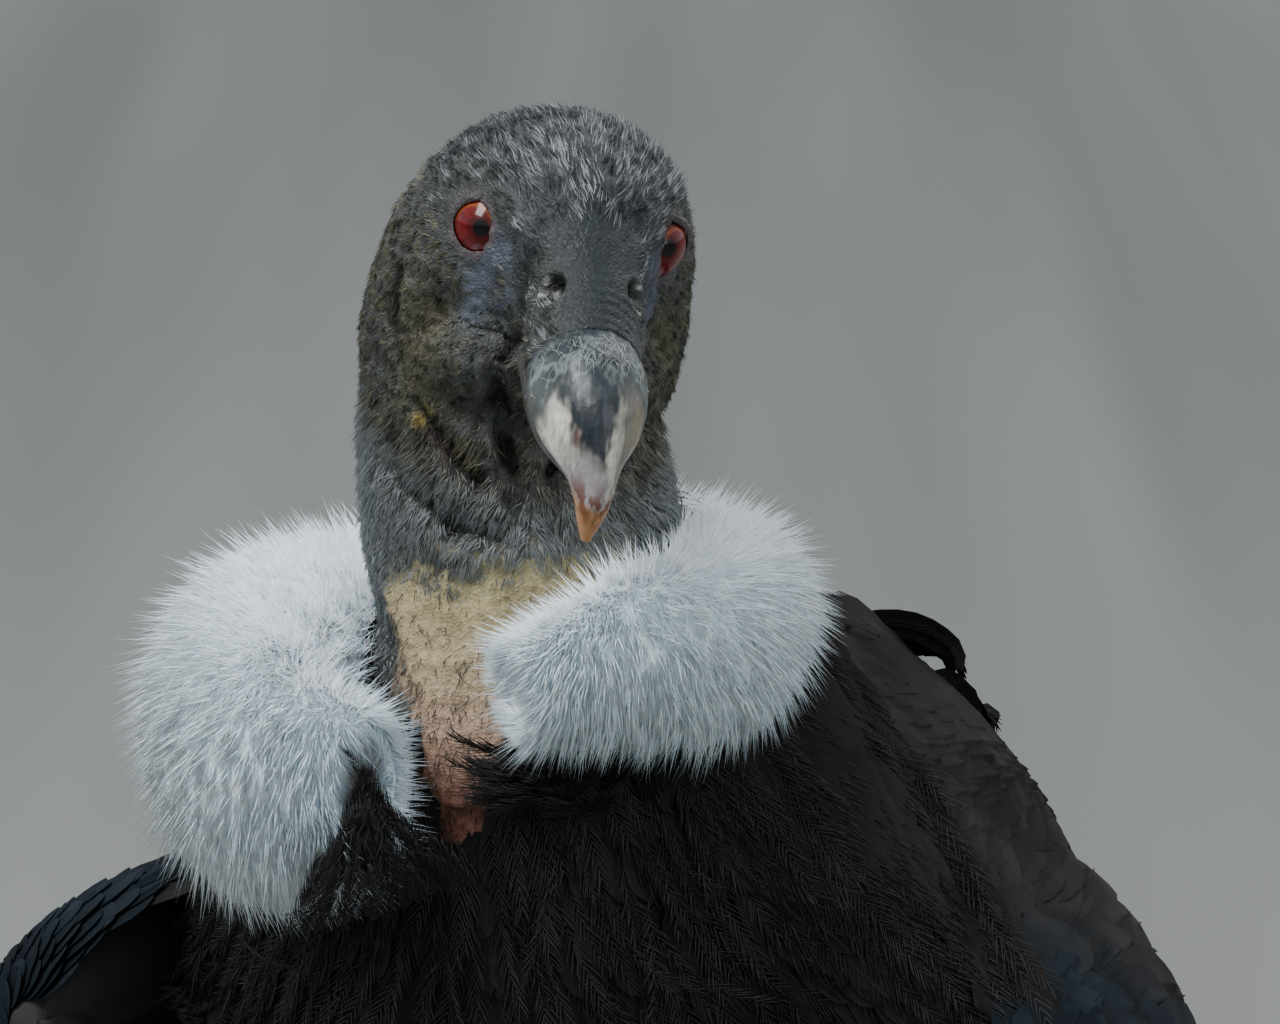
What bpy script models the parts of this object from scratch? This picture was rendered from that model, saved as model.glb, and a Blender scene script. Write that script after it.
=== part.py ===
"""Andean condor, adult female, standing at rest, as a still life-size model.

Units are metres, +Z is up and the floor is z = 0. The bird stands facing -Y, so its left side is +X,
and its head is turned to its left. One loft makes the flesh from the bill's base to the tail's root and
is parted into head, neck and torso; wings, tail, ruff and legs are set on it from the same sizes.
"""

import math

import bmesh
import bpy
import numpy as np
from mathutils import Vector

# Driving dimensions
GAP = 0.0003
MM = 0.001
EYE_HEIGHT = 0.670
EYE_MIDPOINT = (0.0245, -0.175, EYE_HEIGHT)
HEAD_YAW = math.radians(28.0)
HEAD_PITCH = math.radians(33.0)
HEAD_ROLL = math.radians(6.0)
EYE_RADIUS = 0.0100
EYE_SPREAD = 0.0210
EYE_SET_BACK = -0.0041
EYE_DIVERGENCE = math.radians(48.0)
EYE_OPENING = 0.0069
TAIL_LENGTH = 0.33
TARSUS_RADIUS = 0.0105
VANE_THICK = 0.0007
LOCK_THICK = 0.0026
SEED = 7

FEATHER_BLACK = (0.012, 0.012, 0.014)
SKIN_GREY = (0.050, 0.050, 0.050)
SKIN_OCHRE = (0.330, 0.230, 0.130)
DOWN_WHITE = (0.780, 0.800, 0.840)
HORN_IVORY = (0.560, 0.500, 0.400)
EYE_RED = (0.240, 0.010, 0.010)
LEG_GREY = (0.140, 0.135, 0.130)
CLAW_BLACK = (0.025, 0.024, 0.023)

# The loft's stations from tail to neck in the body's own plane: the point on the back and the point on
# the belly, each as (y, z), the half width, the height share of the widest place and the squareness
BODY_STATIONS = [
    ("tail_root", (0.246, 0.280), (0.222, 0.224), 0.042, 0.50, 2.1),
    ("rump", (0.205, 0.352), (0.150, 0.212), 0.070, 0.52, 2.1),
    ("loin", (0.155, 0.422), (0.075, 0.212), 0.096, 0.54, 2.2),
    ("belly", (0.102, 0.484), (0.004, 0.228), 0.113, 0.56, 2.2),
    ("ribs", (0.048, 0.525), (-0.062, 0.262), 0.119, 0.57, 2.2),
    ("breast", (0.000, 0.546), (-0.124, 0.315), 0.114, 0.56, 2.2),
    ("shoulders", (-0.046, 0.556), (-0.168, 0.380), 0.100, 0.54, 2.1),
    ("crop", (-0.078, 0.566), (-0.190, 0.445), 0.078, 0.50, 2.1),
    ("neck_root", (-0.095, 0.582), (-0.190, 0.505), 0.055, 0.46, 2.0),
    ("neck_low", (-0.098, 0.603), (-0.182, 0.550), 0.044, 0.46, 2.0),
]

# The same for the head, in millimetres in the head's own plane as (forward, up) from the point midway
# between the irises, from the neck's top to the cere's front, with how much the ring narrows upwards
HEAD_STATIONS = [
    ("neck_top", (-42, -74), (26, -60), 41.5, 0.50, 2.0, 0.00),
    ("nape", (-50, -48), (21, -54), 43.5, 0.52, 2.0, 0.00),
    ("occiput", (-52, -21), (16, -49), 43.0, 0.50, 2.1, 0.04),
    ("ear", (-43, 6), (11, -45), 40.5, 0.52, 2.2, 0.09),
    ("crown", (-27, 21.5), (8, -41), 36.5, 0.54, 2.2, 0.12),
    ("temple", (-11, 26.5), (8, -37), 30.2, 0.54, 2.2, 0.10),
    ("eyes", (4, 25), (11, -31), 23.4, 0.54, 2.2, 0.08),
    ("lores", (17, 20), (18, -23), 18.4, 0.52, 2.2, 0.14),
    ("cere_root", (28, 16), (27, -17), 16.2, 0.50, 2.2, 0.22),
    ("nostrils", (38, 13.5), (36, -14.5), 15.2, 0.48, 2.2, 0.22),
    ("cere_front", (51, 10.5), (48, -13), 15.0, 0.46, 2.2, 0.20),
]

# The upper bill beyond the cere and the lower bill, as the head's stations are
UPPER_BILL_STATIONS = [
    ("base", (51.3, 10.5), (48.3, -13), 15.2, 0.46, 2.2, 0.20),
    ("swell", (62, 11.0), (57, -15), 15.8, 0.42, 2.2, 0.20),
    ("bend", (75, 7.0), (66, -18), 13.8, 0.42, 2.1, 0.18),
    ("hook", (84.5, -2), (74, -20), 10.4, 0.46, 2.0, 0.12),
    ("point", (90, -12.5), (82.5, -22.5), 6.2, 0.50, 2.0, 0.05),
    ("tip", (90.5, -25.5), (88.5, -26), 1.1, 0.50, 2.0, 0.00),
]
LOWER_BILL_STATIONS = [
    ("base", (28, -12.0), (26, -31.5), 14.4, 0.62, 2.3, 0.0),
    ("middle", (43, -8.0), (43, -28.5), 13.2, 0.58, 2.3, 0.0),
    ("front", (58, -9.0), (59, -26.5), 10.8, 0.55, 2.2, 0.0),
    ("tip", (70, -16.0), (71, -24.5), 4.2, 0.55, 2.0, 0.0),
]
JAW_STATIONS = [
    ("throat", (-14, -30), (12, -58), 38.0, 0.55, 2.1, 0.0),
    ("cheek", (4, -24), (17, -50), 31.0, 0.55, 2.1, 0.0),
    ("corner", (16, -21), (21, -42), 22.5, 0.60, 2.1, 0.0),
    ("chin", (27.5, -19.5), (26.5, -34), 15.6, 0.65, 2.1, 0.0),
]

# The folded left wing from its front to its tip: the upper edge, the lower edge, the widest x and the
# thickness inwards
WING_STATIONS = [
    ("front", (0.127, -0.143, 0.438), (0.125, -0.146, 0.420), 0.136, 0.012),
    ("wrist", (0.118, -0.126, 0.458), (0.120, -0.133, 0.405), 0.151, 0.028),
    ("forearm", (0.106, -0.095, 0.472), (0.116, -0.108, 0.365), 0.161, 0.034),
    ("shoulder", (0.094, -0.040, 0.476), (0.116, -0.063, 0.325), 0.160, 0.032),
    ("elbow", (0.082, 0.030, 0.474), (0.110, 0.000, 0.292), 0.152, 0.029),
    ("arm", (0.062, 0.100, 0.452), (0.104, 0.065, 0.262), 0.143, 0.025),
    ("coverts", (0.040, 0.170, 0.416), (0.094, 0.135, 0.234), 0.128, 0.020),
    ("tertials", (0.024, 0.240, 0.368), (0.080, 0.210, 0.203), 0.108, 0.015),
    ("secondaries", (0.018, 0.312, 0.307), (0.064, 0.285, 0.172), 0.086, 0.012),
    ("primaries", (0.017, 0.385, 0.244), (0.051, 0.360, 0.144), 0.066, 0.009),
    ("points", (0.018, 0.450, 0.184), (0.041, 0.430, 0.120), 0.049, 0.006),
    ("tip", (0.024, 0.505, 0.130), (0.033, 0.495, 0.104), 0.034, 0.004),
]
# How far each wrist is held out from the body and up, and over how many stations that fades
WRIST_HELD = {"left": (0.006, -0.014), "right": (0.014, 0.010)}
WRIST_FADE = 5.0
# The arm under the feathers: the station it ends at, its edges, and how many millimetres its surface
# lies under the wing's outer form at some stations
ARM_END = 7.2
ARM_EDGES = (0.05, 0.95)
ARM_SINK = ([0.0, 1.0, 8.6, 11.0], [0.0, 0.0, 9.9, 4.6])
# The wing's tiers, from the deepest: how many feathers, the roots' station and their span across the
# wing, the tips' station at the upper edge, the middle and the lower edge, the tips' span across the
# wing, and how far root, bend and tip lie over the arm's surface in millimetres
WING_TIERS = [
    ("primaries", 7, 5.3, (0.48, 0.93), (9.9, 11.0, 10.2), (0.15, 0.95), (-3.5, 1.8, 2.2)),
    ("secondaries", 9, 4.0, (0.12, 0.80), (9.1, 8.6, 7.7), (0.04, 0.66), (-3.5, 1.8, 6.0)),
    ("greater_coverts", 8, 2.7, (0.10, 0.90), (6.3, 6.1, 5.7), (0.06, 0.92), (-3.5, 4.2, 9.6)),
    ("median_coverts", 7, 1.6, (0.10, 0.88), (4.3, 4.1, 3.8), (0.07, 0.92), (-3.5, 4.2, 8.6)),
]
# A vane's width along its length, as shares, for long feathers and for coverts, how far it overlaps its
# neighbours' lanes, how much its free edge rises and where along it it has come out of its root
VANE_OUTLINE = [(0.0, 0.62), (0.22, 0.90), (0.6, 1.0), (0.88, 0.72), (1.0, 0.22)]
COVERT_OUTLINE = [(0.0, 0.66), (0.4, 1.0), (0.82, 0.82), (1.0, 0.26)]
VANE_OVERLAP = 1.22
VANE_TILT = 0.0014
VANE_BEND = 0.18

# The tail: where it starts, which way it runs and how far its sides drop
TAIL_ROOT = (0.0, 0.235, 0.248)
TAIL_SLOPE = math.radians(36.9)
TAIL_CAMBER = 0.008
TAIL_HALF = 0.075
# Its root under small feathers: the share of the length, the half width and the half height
TAIL_CORE = [
    (-0.06, 0.0400, 0.0270),
    (0.05, 0.0420, 0.0245),
    (0.17, 0.0450, 0.0165),
    (0.38, 0.0400, 0.0075),
]
# Its feathers: the middle pair lies on top, and each pair outwards lies under the one before it, with its
# outer edge tilted up. Their places are x at the root and at the tip
RECTRIX_HALF = 0.021
RECTRIX_TILT = 0.0023
MIDDLE_PAIR = ((0.004, 0.009), (0.0052, 0.0041))
OUTER_PAIRS = 5
OUTER_START = (0.0085, 0.0225)
OUTER_STEP = (0.0040, 0.0090)
TAIL_COVERTS = 5

# Loose feathers that curl up off the left of the back
LOOSE_HALF = 0.011
LOOSE_FEATHERS = [
    [
        (0.024, 0.016, 0.512),
        (0.036, 0.024, 0.532),
        (0.053, 0.032, 0.535),
        (0.066, 0.040, 0.523),
        (0.068, 0.046, 0.511),
    ],
    [
        (0.048, 0.028, 0.498),
        (0.062, 0.038, 0.513),
        (0.074, 0.046, 0.511),
        (0.080, 0.052, 0.498),
        (0.081, 0.056, 0.488),
    ],
]

# The ruff's centre line from nape to throat: place with x outwards, thickness out from the neck and
# height. The head is turned to the left, so the left half is pushed up and the right half hangs low
RUFF_STATIONS = {
    "left": [
        ("nape", (0.0005, -0.082, 0.566), 0.020, 0.024),
        ("behind", (0.044, -0.098, 0.564), 0.026, 0.029),
        ("side", (0.062, -0.145, 0.563), 0.027, 0.033),
        ("front", (0.050, -0.186, 0.556), 0.025, 0.032),
        ("throat", (0.024, -0.208, 0.550), 0.014, 0.020),
    ],
    "right": [
        ("nape", (0.0005, -0.082, 0.566), 0.020, 0.024),
        ("behind", (0.054, -0.102, 0.553), 0.029, 0.036),
        ("side", (0.073, -0.148, 0.540), 0.033, 0.048),
        ("front", (0.060, -0.188, 0.520), 0.028, 0.044),
        ("throat", (0.030, -0.206, 0.522), 0.015, 0.034),
    ],
}

# The ruff's locks: places along each half, angles round it, how far a lock bends over, how far out the
# core reaches, a lock's stations as (share, reach, width) and its half width. A few more locks end each
# half at the throat, at their own angles, as (ahead in metres, reach, half width)
RUFF_PLACES = 6
RUFF_ANGLES = [94.0, 48.0, 2.0, -44.0]
RUFF_BEND = math.radians(50.0)
RUFF_CORE = 0.50
LOCK_SHAPE = [(0.0, 0.30, 0.70), (0.35, 0.66, 1.00), (0.72, 0.94, 0.75), (1.0, 1.14, 0.08)]
LOCK_HALF = 0.0150
END_ANGLES = [60.0, -10.0, -80.0]
END_SHAPE = [(0.0, 0.1, 0.008), (0.0096, 0.5, 0.012), (0.0176, 0.7, 0.009), (0.0240, 0.75, 0.002)]

THIGH_STATIONS = [
    ("hip", (0.070, -0.012, 0.345), 0.050, 0.084),
    ("thigh", (0.072, 0.016, 0.280), 0.049, 0.076),
    ("knee", (0.071, 0.044, 0.212), 0.039, 0.054),
    ("shin", (0.068, 0.062, 0.162), 0.028, 0.035),
    ("cuff", (0.066, 0.070, 0.138), 0.0190, 0.022),
]
ANKLE = (0.066, 0.072, 0.140)
TOE_JOINT = (0.066, 0.028, 0.022)
TOES = [
    ("inner", -24.0, 0.068, 0.0080),
    ("middle", 0.0, 0.098, 0.0088),
    ("outer", 26.0, 0.072, 0.0080),
    ("hind", 176.0, 0.034, 0.0070),
]
TARSUS_SHAPE = [(0.0, 1.12), (0.12, 1.0), (0.5, 0.9), (0.8, 1.0), (0.96, 1.15)]
TOE_SHAPE = [1.25, 1.15, 1.0, 0.95, 0.82]
FOOT_PAD = (0.0150, 0.0170, 0.0165)
CLAW_SHAPE = [(0.0, 0.0, 0.74), (0.35, 0.10, 0.62), (0.7, 0.02, 0.40), (1.0, -0.16, 0.12)]
CLAW_LENGTH = {"inner": 0.026, "middle": 0.028, "outer": 0.022, "hind": 0.020}


def mirrored(side):
    """+1 for the bird's left, which is +X, and -1 for its right."""
    return 1.0 if side == "left" else -1.0


def spline(rows, t):
    """A Catmull-Rom curve through the rows of an array, at t counted in rows."""
    rows = np.asarray(rows, float)
    last = len(rows) - 1
    i = min(int(t), last - 1)
    u = t - i
    p1, p2 = rows[i], rows[i + 1]
    p0 = rows[i - 1] if i > 0 else 2 * p1 - p2
    p3 = rows[i + 2] if i + 2 <= last else 2 * p2 - p1
    a = 2 * p1
    b = p2 - p0
    c = 2 * p0 - 5 * p1 + 4 * p2 - p3
    d = 3 * p1 - p0 - 3 * p2 + p3
    return 0.5 * (a + b * u + c * u * u + d * u**3)


def unit(v):
    """The vector at length 1."""
    v = np.asarray(v, float)
    return v / np.linalg.norm(v)


def head_axes():
    """The head's left, forward and up directions, after yaw, pitch and roll."""
    ahead = np.array([math.sin(HEAD_YAW), -math.cos(HEAD_YAW), 0.0])
    left = np.array([math.cos(HEAD_YAW), math.sin(HEAD_YAW), 0.0])
    z = np.array([0.0, 0.0, 1.0])
    forward = ahead * math.cos(HEAD_PITCH) - z * math.sin(HEAD_PITCH)
    up = ahead * math.sin(HEAD_PITCH) + z * math.cos(HEAD_PITCH)
    rolled_left = left * math.cos(HEAD_ROLL) - up * math.sin(HEAD_ROLL)
    rolled_up = up * math.cos(HEAD_ROLL) + left * math.sin(HEAD_ROLL)
    return rolled_left, forward, rolled_up


HEAD_LEFT, HEAD_FORWARD, HEAD_UP = head_axes()


def on_head(side, forward, up):
    """A point given in the head's own axes, in metres from the point between the irises."""
    return np.array(EYE_MIDPOINT) + side * HEAD_LEFT + forward * HEAD_FORWARD + up * HEAD_UP


def station_row(top, bottom, side_axis, half_width, share, square, narrowing):
    """One loft station as a flat row, so that every part of it is interpolated alike."""
    return np.concatenate([top, bottom, side_axis, [half_width, share, square, narrowing]])


def head_rows(stations):
    """Station rows for a table that is in the head's own plane and in millimetres."""
    rows = []
    for _, top, bottom, half_width, share, square, narrowing in stations:
        rows.append(
            station_row(
                on_head(0.0, top[0] * MM, top[1] * MM),
                on_head(0.0, bottom[0] * MM, bottom[1] * MM),
                HEAD_LEFT,
                half_width * MM,
                share,
                square,
                narrowing,
            )
        )
    return rows


def body_rows():
    """Station rows for the torso's table."""
    rows = []
    for _, top, bottom, half_width, share, square in BODY_STATIONS:
        rows.append(
            station_row((0.0, *top), (0.0, *bottom), (1.0, 0.0, 0.0), half_width, share, square, 0.0)
        )
    return rows


FLESH = body_rows() + head_rows(HEAD_STATIONS)
NECK_CUT = len(BODY_STATIONS) - 1.45
HEAD_CUT = len(BODY_STATIONS) + 0.85
CERE_END = len(FLESH) - 1.0


def ring(rows, t, count, grow=0.0):
    """A closed ring of points at station t, and the direction in which the loft runs there."""
    row = spline(rows, t)
    top, bottom, side_axis = row[0:3], row[3:6], row[6:9]
    half_width, share, square, narrowing = row[9:13]
    height = np.linalg.norm(top - bottom)
    up = (top - bottom) / height
    side = unit(side_axis - up * (side_axis @ up))
    centre = bottom + up * height * share
    points = []
    for k in range(count):
        angle = 2 * math.pi * k / count
        c, s = math.cos(angle), math.sin(angle)
        across = math.copysign(abs(c) ** (2 / square), c) * (half_width + grow)
        reach = height * (1 - share) + grow if s > 0 else height * share + grow
        rise = math.copysign(abs(s) ** (2 / square), s) * reach
        across *= 1 - narrowing * math.sin(angle)
        points.append(centre + side * across + up * rise)
    return np.array(points), np.cross(side, up)


def between(low, high, share):
    """The value at a share of the way from low to high."""
    return low + (high - low) * share


def new_object(name, points, faces):
    """A mesh object from points and faces, with its normals made to point out."""
    mesh = bpy.data.meshes.new(name)
    mesh.from_pydata([tuple(map(float, p)) for p in points], [], faces)
    work = bmesh.new()
    work.from_mesh(mesh)
    bmesh.ops.recalc_face_normals(work, faces=work.faces)
    work.to_mesh(mesh)
    work.free()
    obj = bpy.data.objects.new(name, mesh)
    bpy.context.scene.collection.objects.link(obj)
    return obj


def bridge(name, rings):
    """A closed object through a list of rings that have the same number of points."""
    count = len(rings[0])
    faces = []
    for j in range(len(rings) - 1):
        for k in range(count):
            n = (k + 1) % count
            faces.append((j * count + k, j * count + n, (j + 1) * count + n, (j + 1) * count + k))
    faces.append(tuple(reversed(range(count))))
    start = (len(rings) - 1) * count
    faces.append(tuple(range(start, start + count)))
    return new_object(name, np.concatenate(rings), faces)


def strip(name, rows):
    """A closed flat strip from rows of four points: left and right on its outer face, then right and
    left on its inner one. Both faces are split along the same diagonals."""
    faces = [(0, 3, 2), (0, 2, 1)]
    for j in range(len(rows) - 1):
        a, b = 4 * j, 4 * j + 4
        faces += [(a, a + 1, b + 1), (a, b + 1, b), (a + 3, b + 2, a + 2), (a + 3, b + 3, b + 2)]
        faces += [(a + 1, a + 2, b + 2), (a + 1, b + 2, b + 1), (a, b, b + 3), (a, b + 3, a + 3)]
    end = 4 * len(rows) - 4
    faces += [(end, end + 1, end + 2), (end, end + 2, end + 3)]
    return new_object(name, np.concatenate(rows), faces)


def ribbon(name, centres, across, half_widths, thicknesses):
    """A flat strip along the centres, with its width in the given direction."""
    rows = []
    last = len(centres) - 1
    for i, centre in enumerate(centres):
        ahead = unit(np.array(centres[min(i + 1, last)]) - centres[max(i - 1, 0)])
        side = unit(across - ahead * (across @ ahead))
        lift = np.cross(side, ahead) * thicknesses[i] / 2
        reach = side * half_widths[i]
        left, right = centre - reach, centre + reach
        rows.append([left + lift, right + lift, right - lift, left - lift])
    return strip(name, rows)


def loft(name, rows, steps, count, grow=0.0, start_shift=0.0, end_shift=0.0):
    """A closed loft through the stations at the given steps. Its end rings can be moved along it."""
    rings = []
    for t in steps:
        points, _ = ring(rows, t, count, grow)
        rings.append(points)
    if start_shift:
        rings[0] = rings[0] + unit(rings[1].mean(0) - rings[0].mean(0)) * start_shift
    if end_shift:
        rings[-1] = rings[-1] + unit(rings[-2].mean(0) - rings[-1].mean(0)) * end_shift
    return bridge(name, rings)


def evaluated(obj):
    """Replaces the object's mesh by what its modifiers make of it."""
    graph = bpy.context.evaluated_depsgraph_get()
    mesh = bpy.data.meshes.new_from_object(obj.evaluated_get(graph))
    obj.modifiers.clear()
    obj.data = mesh


def keep_largest(obj):
    """Keeps the object's largest closed surface, and drops any scrap or sealed hollow."""
    work = bmesh.new()
    work.from_mesh(obj.data)
    bmesh.ops.remove_doubles(work, verts=work.verts, dist=0.000002)
    left = set(work.faces)
    groups = []
    while left:
        stack = [left.pop()]
        group = list(stack)
        while stack:
            face = stack.pop()
            for edge in face.edges:
                for other in edge.link_faces:
                    if other in left:
                        left.remove(other)
                        stack.append(other)
                        group.append(other)
        groups.append(group)
    groups.sort(key=lambda group: sum(face.calc_area() for face in group))
    dropped = [face for group in groups[:-1] for face in group]
    bmesh.ops.delete(work, geom=dropped, context="FACES")
    bmesh.ops.triangulate(work, faces=work.faces)
    work.to_mesh(obj.data)
    work.free()


def boolean(obj, operation, others, solver="EXACT"):
    """Joins closed mesh objects to obj or cuts them from it, and removes them."""
    group = bpy.data.collections.new("operands")
    for other in others:
        group.objects.link(other)
        bpy.context.scene.collection.objects.unlink(other)
    modifier = obj.modifiers.new(operation.lower(), "BOOLEAN")
    modifier.operation = operation
    modifier.solver = solver
    modifier.operand_type = "COLLECTION"
    modifier.collection = group
    bpy.context.view_layer.update()
    evaluated(obj)
    for other in others:
        bpy.data.objects.remove(other)
    bpy.data.collections.remove(group)
    keep_largest(obj)


def grown_copy(obj, by):
    """A copy of a closed object whose surface lies further out by about the given distance."""
    copy = obj.copy()
    copy.data = obj.data.copy()
    bpy.context.scene.collection.objects.link(copy)
    work = bmesh.new()
    work.from_mesh(copy.data)
    work.normal_update()
    moves = [(v, v.normal.copy() * v.calc_shell_factor() * by) for v in work.verts]
    for vert, move in moves:
        vert.co += move
    work.to_mesh(copy.data)
    work.free()
    return copy


def clear_of(obj, *neighbours):
    """Cuts obj back so that it meets its neighbours face to face, with the gap between them."""
    for neighbour in neighbours:
        boolean(obj, "DIFFERENCE", [grown_copy(neighbour, GAP * 1.3)], "MANIFOLD")


def ellipsoid(name, centre, radii, axes, segments=12, rings=8):
    """A closed ellipsoid with its poles on the third of the given axes."""
    work = bmesh.new()
    bmesh.ops.create_uvsphere(work, u_segments=segments, v_segments=rings, radius=1.0)
    points = [v.co.copy() for v in work.verts]
    faces = [tuple(v.index for v in f.verts) for f in work.faces]
    work.free()
    frame = np.array(axes)
    placed = [np.array(centre) + (np.array(p) * radii) @ frame for p in points]
    return new_object(name, placed, faces)


def tube(name, centres, radii, count=8, flatten=1.0, upright=(0.0, 0.0, 1.0)):
    """A closed tube through the centres, with a radius at each and a share of it as its height."""
    rings = []
    for i, centre in enumerate(centres):
        ahead = unit(np.array(centres[min(i + 1, len(centres) - 1)]) - centres[max(i - 1, 0)])
        side = unit(np.cross(ahead, upright))
        up = np.cross(side, ahead)
        angles = [2 * math.pi * (k + 0.5) / count for k in range(count)]
        rings.append(
            [
                np.array(centre)
                + radii[i] * (math.cos(a) * side + flatten * math.sin(a) * up)
                for a in angles
            ]
        )
    return bridge(name, rings)


def eye_axis(side):
    """The direction in which an eye looks."""
    sign = mirrored(side)
    return unit(
        sign * math.sin(EYE_DIVERGENCE) * HEAD_LEFT + math.cos(EYE_DIVERGENCE) * HEAD_FORWARD
    )


def eye_centre(side):
    """The middle of an eyeball."""
    return on_head(mirrored(side) * EYE_SPREAD, EYE_SET_BACK, 0.0)


def eye_frame(side):
    """The axes of an eyeball, with its look as the third."""
    look = eye_axis(side)
    across = unit(np.cross(HEAD_UP, look))
    return [across, np.cross(look, across), look]


def make_eye(side):
    """An eyeball, whole, in its socket."""
    return ellipsoid(
        f"eye_{side}", eye_centre(side), (EYE_RADIUS,) * 3, eye_frame(side), 12, 8
    )


def lid_ring(side):
    """The bare rim of skin round an eye."""
    across, up, look = eye_frame(side)
    rim = 0.0014
    depth = math.sqrt(EYE_RADIUS**2 - EYE_OPENING**2)
    centre = eye_centre(side) + look * (depth - 0.0006)
    around, section = 14, 4
    rings = []
    for j in range(around):
        a = 2 * math.pi * j / around
        out = math.cos(a) * across + math.sin(a) * up * 1.04
        middle = centre + out * (EYE_OPENING + rim * 0.75)
        rings.append(
            [
                middle
                + rim * (math.cos(b) * out + math.sin(b) * look)
                for b in (2 * math.pi * k / section for k in range(section))
            ]
        )
    faces = []
    for j in range(around):
        for k in range(section):
            n, m = (j + 1) % around, (k + 1) % section
            faces.append((j * section + k, j * section + m, n * section + m, n * section + k))
    return new_object("lid", np.concatenate(rings), faces)


def make_head():
    """The skin of head and jaw with lids, sockets, nostrils, ears and the line of the mouth."""
    steps = np.linspace(HEAD_CUT, CERE_END, 16)
    head = loft("head", FLESH, steps, 24, 0.0, GAP / 2)
    jaw = loft("jaw", head_rows(JAW_STATIONS), np.linspace(0, 3, 5), 14)
    lids = [lid_ring("left"), lid_ring("right")]
    boolean(head, "UNION", [jaw, *lids])
    cutters = []
    for side in ("left", "right"):
        sign = mirrored(side)
        cutters.append(
            ellipsoid(
                "socket", eye_centre(side), (EYE_RADIUS + 2 * GAP,) * 3, eye_frame(side), 14, 9
            )
        )
        cutters.append(
            ellipsoid(
                "nostril",
                on_head(sign * 0.0108, 0.0330, 0.0108),
                (0.0036, 0.0026, 0.0040),
                [HEAD_FORWARD, HEAD_UP, HEAD_LEFT],
                8,
                6,
            )
        )
        cutters.append(
            ellipsoid(
                "ear",
                on_head(sign * 0.0375, -0.0310, -0.0120),
                (0.0030, 0.0045, 0.0040),
                [HEAD_FORWARD, HEAD_UP, HEAD_LEFT],
                8,
                6,
            )
        )
        mouth = [
            on_head(sign * x, f, u)
            for x, f, u in (
                (0.0180, 0.0300, -0.0185),
                (0.0215, 0.0220, -0.0205),
                (0.0262, 0.0130, -0.0225),
                (0.0300, 0.0050, -0.0260),
            )
        ]
        cutters.append(tube("mouth", mouth, [0.0024, 0.0024, 0.0020, 0.0012], 6, 0.6, HEAD_UP))
    boolean(head, "DIFFERENCE", cutters)
    return head


def make_neck():
    """The bare neck between the ruff and the head."""
    steps = np.linspace(NECK_CUT, HEAD_CUT, 7)
    return loft("neck", FLESH, steps, 24, 0.0, GAP / 2, GAP / 2)


def make_torso():
    """Breast, back, belly and rump in one, with the loose feathers on the back."""
    steps = np.linspace(0.0, NECK_CUT, 15)
    torso = loft("torso", FLESH, steps, 24, 0.0, 0.0, GAP / 2)
    loose = []
    for route in LOOSE_FEATHERS:
        steps = np.linspace(0.0, len(route) - 1.0, len(VANE_OUTLINE))
        centres = [spline(route, t) for t in steps]
        widths = [LOOSE_HALF * share for _, share in VANE_OUTLINE]
        across = np.array([-0.3, 1.0, 0.2])
        loose.append(ribbon("loose", centres, across, widths, [VANE_THICK] * len(steps)))
    boolean(torso, "UNION", loose)
    return torso


def make_bill():
    """The horny upper bill with its hook, and the lower bill under it."""
    upper = loft(
        "bill_upper", head_rows(UPPER_BILL_STATIONS), np.linspace(0, 5, 11), 14, 0.0, GAP / 2
    )
    lower = loft("bill_lower", head_rows(LOWER_BILL_STATIONS), np.linspace(0, 3, 5), 8)
    return upper, lower


def wing_arc(t, side):
    """The outer line of the folded wing across station t: its edges, its widest x and its thickness."""
    rows = [
        np.concatenate([top, bottom, [wide, thick]])
        for _, top, bottom, wide, thick in WING_STATIONS
    ]
    row = spline(rows, t)
    out, up = WRIST_HELD[side]
    share = max(0.0, 1 - t / WRIST_FADE) ** 2
    held = np.array([out * share, 0.0, up * share])
    flip = np.array([mirrored(side), 1.0, 1.0])
    top, bottom = (row[0:3] + held) * flip, (row[3:6] + held) * flip
    return top, bottom, (row[6] + held[0]) * flip[0], row[7]


def wing_point(t, v, side, lift=0.0):
    """A point on the wing's outer face: t from wrist to tip in stations, v from upper to lower edge."""
    top, bottom, widest, _ = wing_arc(t, side)
    sign = mirrored(side)
    middle = (top + bottom) / 2
    half = (top - bottom) / 2
    angle = math.pi * (0.5 - v)
    out = np.array([widest - middle[0], 0.0, 0.0])
    place = middle + half * math.sin(angle) + out * math.cos(angle)
    normal = unit(
        np.array([sign, 0.0, 0.0]) * math.cos(angle) * np.linalg.norm(half)
        + unit(half) * math.sin(angle) * abs(out[0])
    )
    return place + normal * lift


def arm_sink(t):
    """How far the arm's surface lies under the wing's outer form at station t."""
    return np.interp(t, *ARM_SINK) * MM


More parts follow.
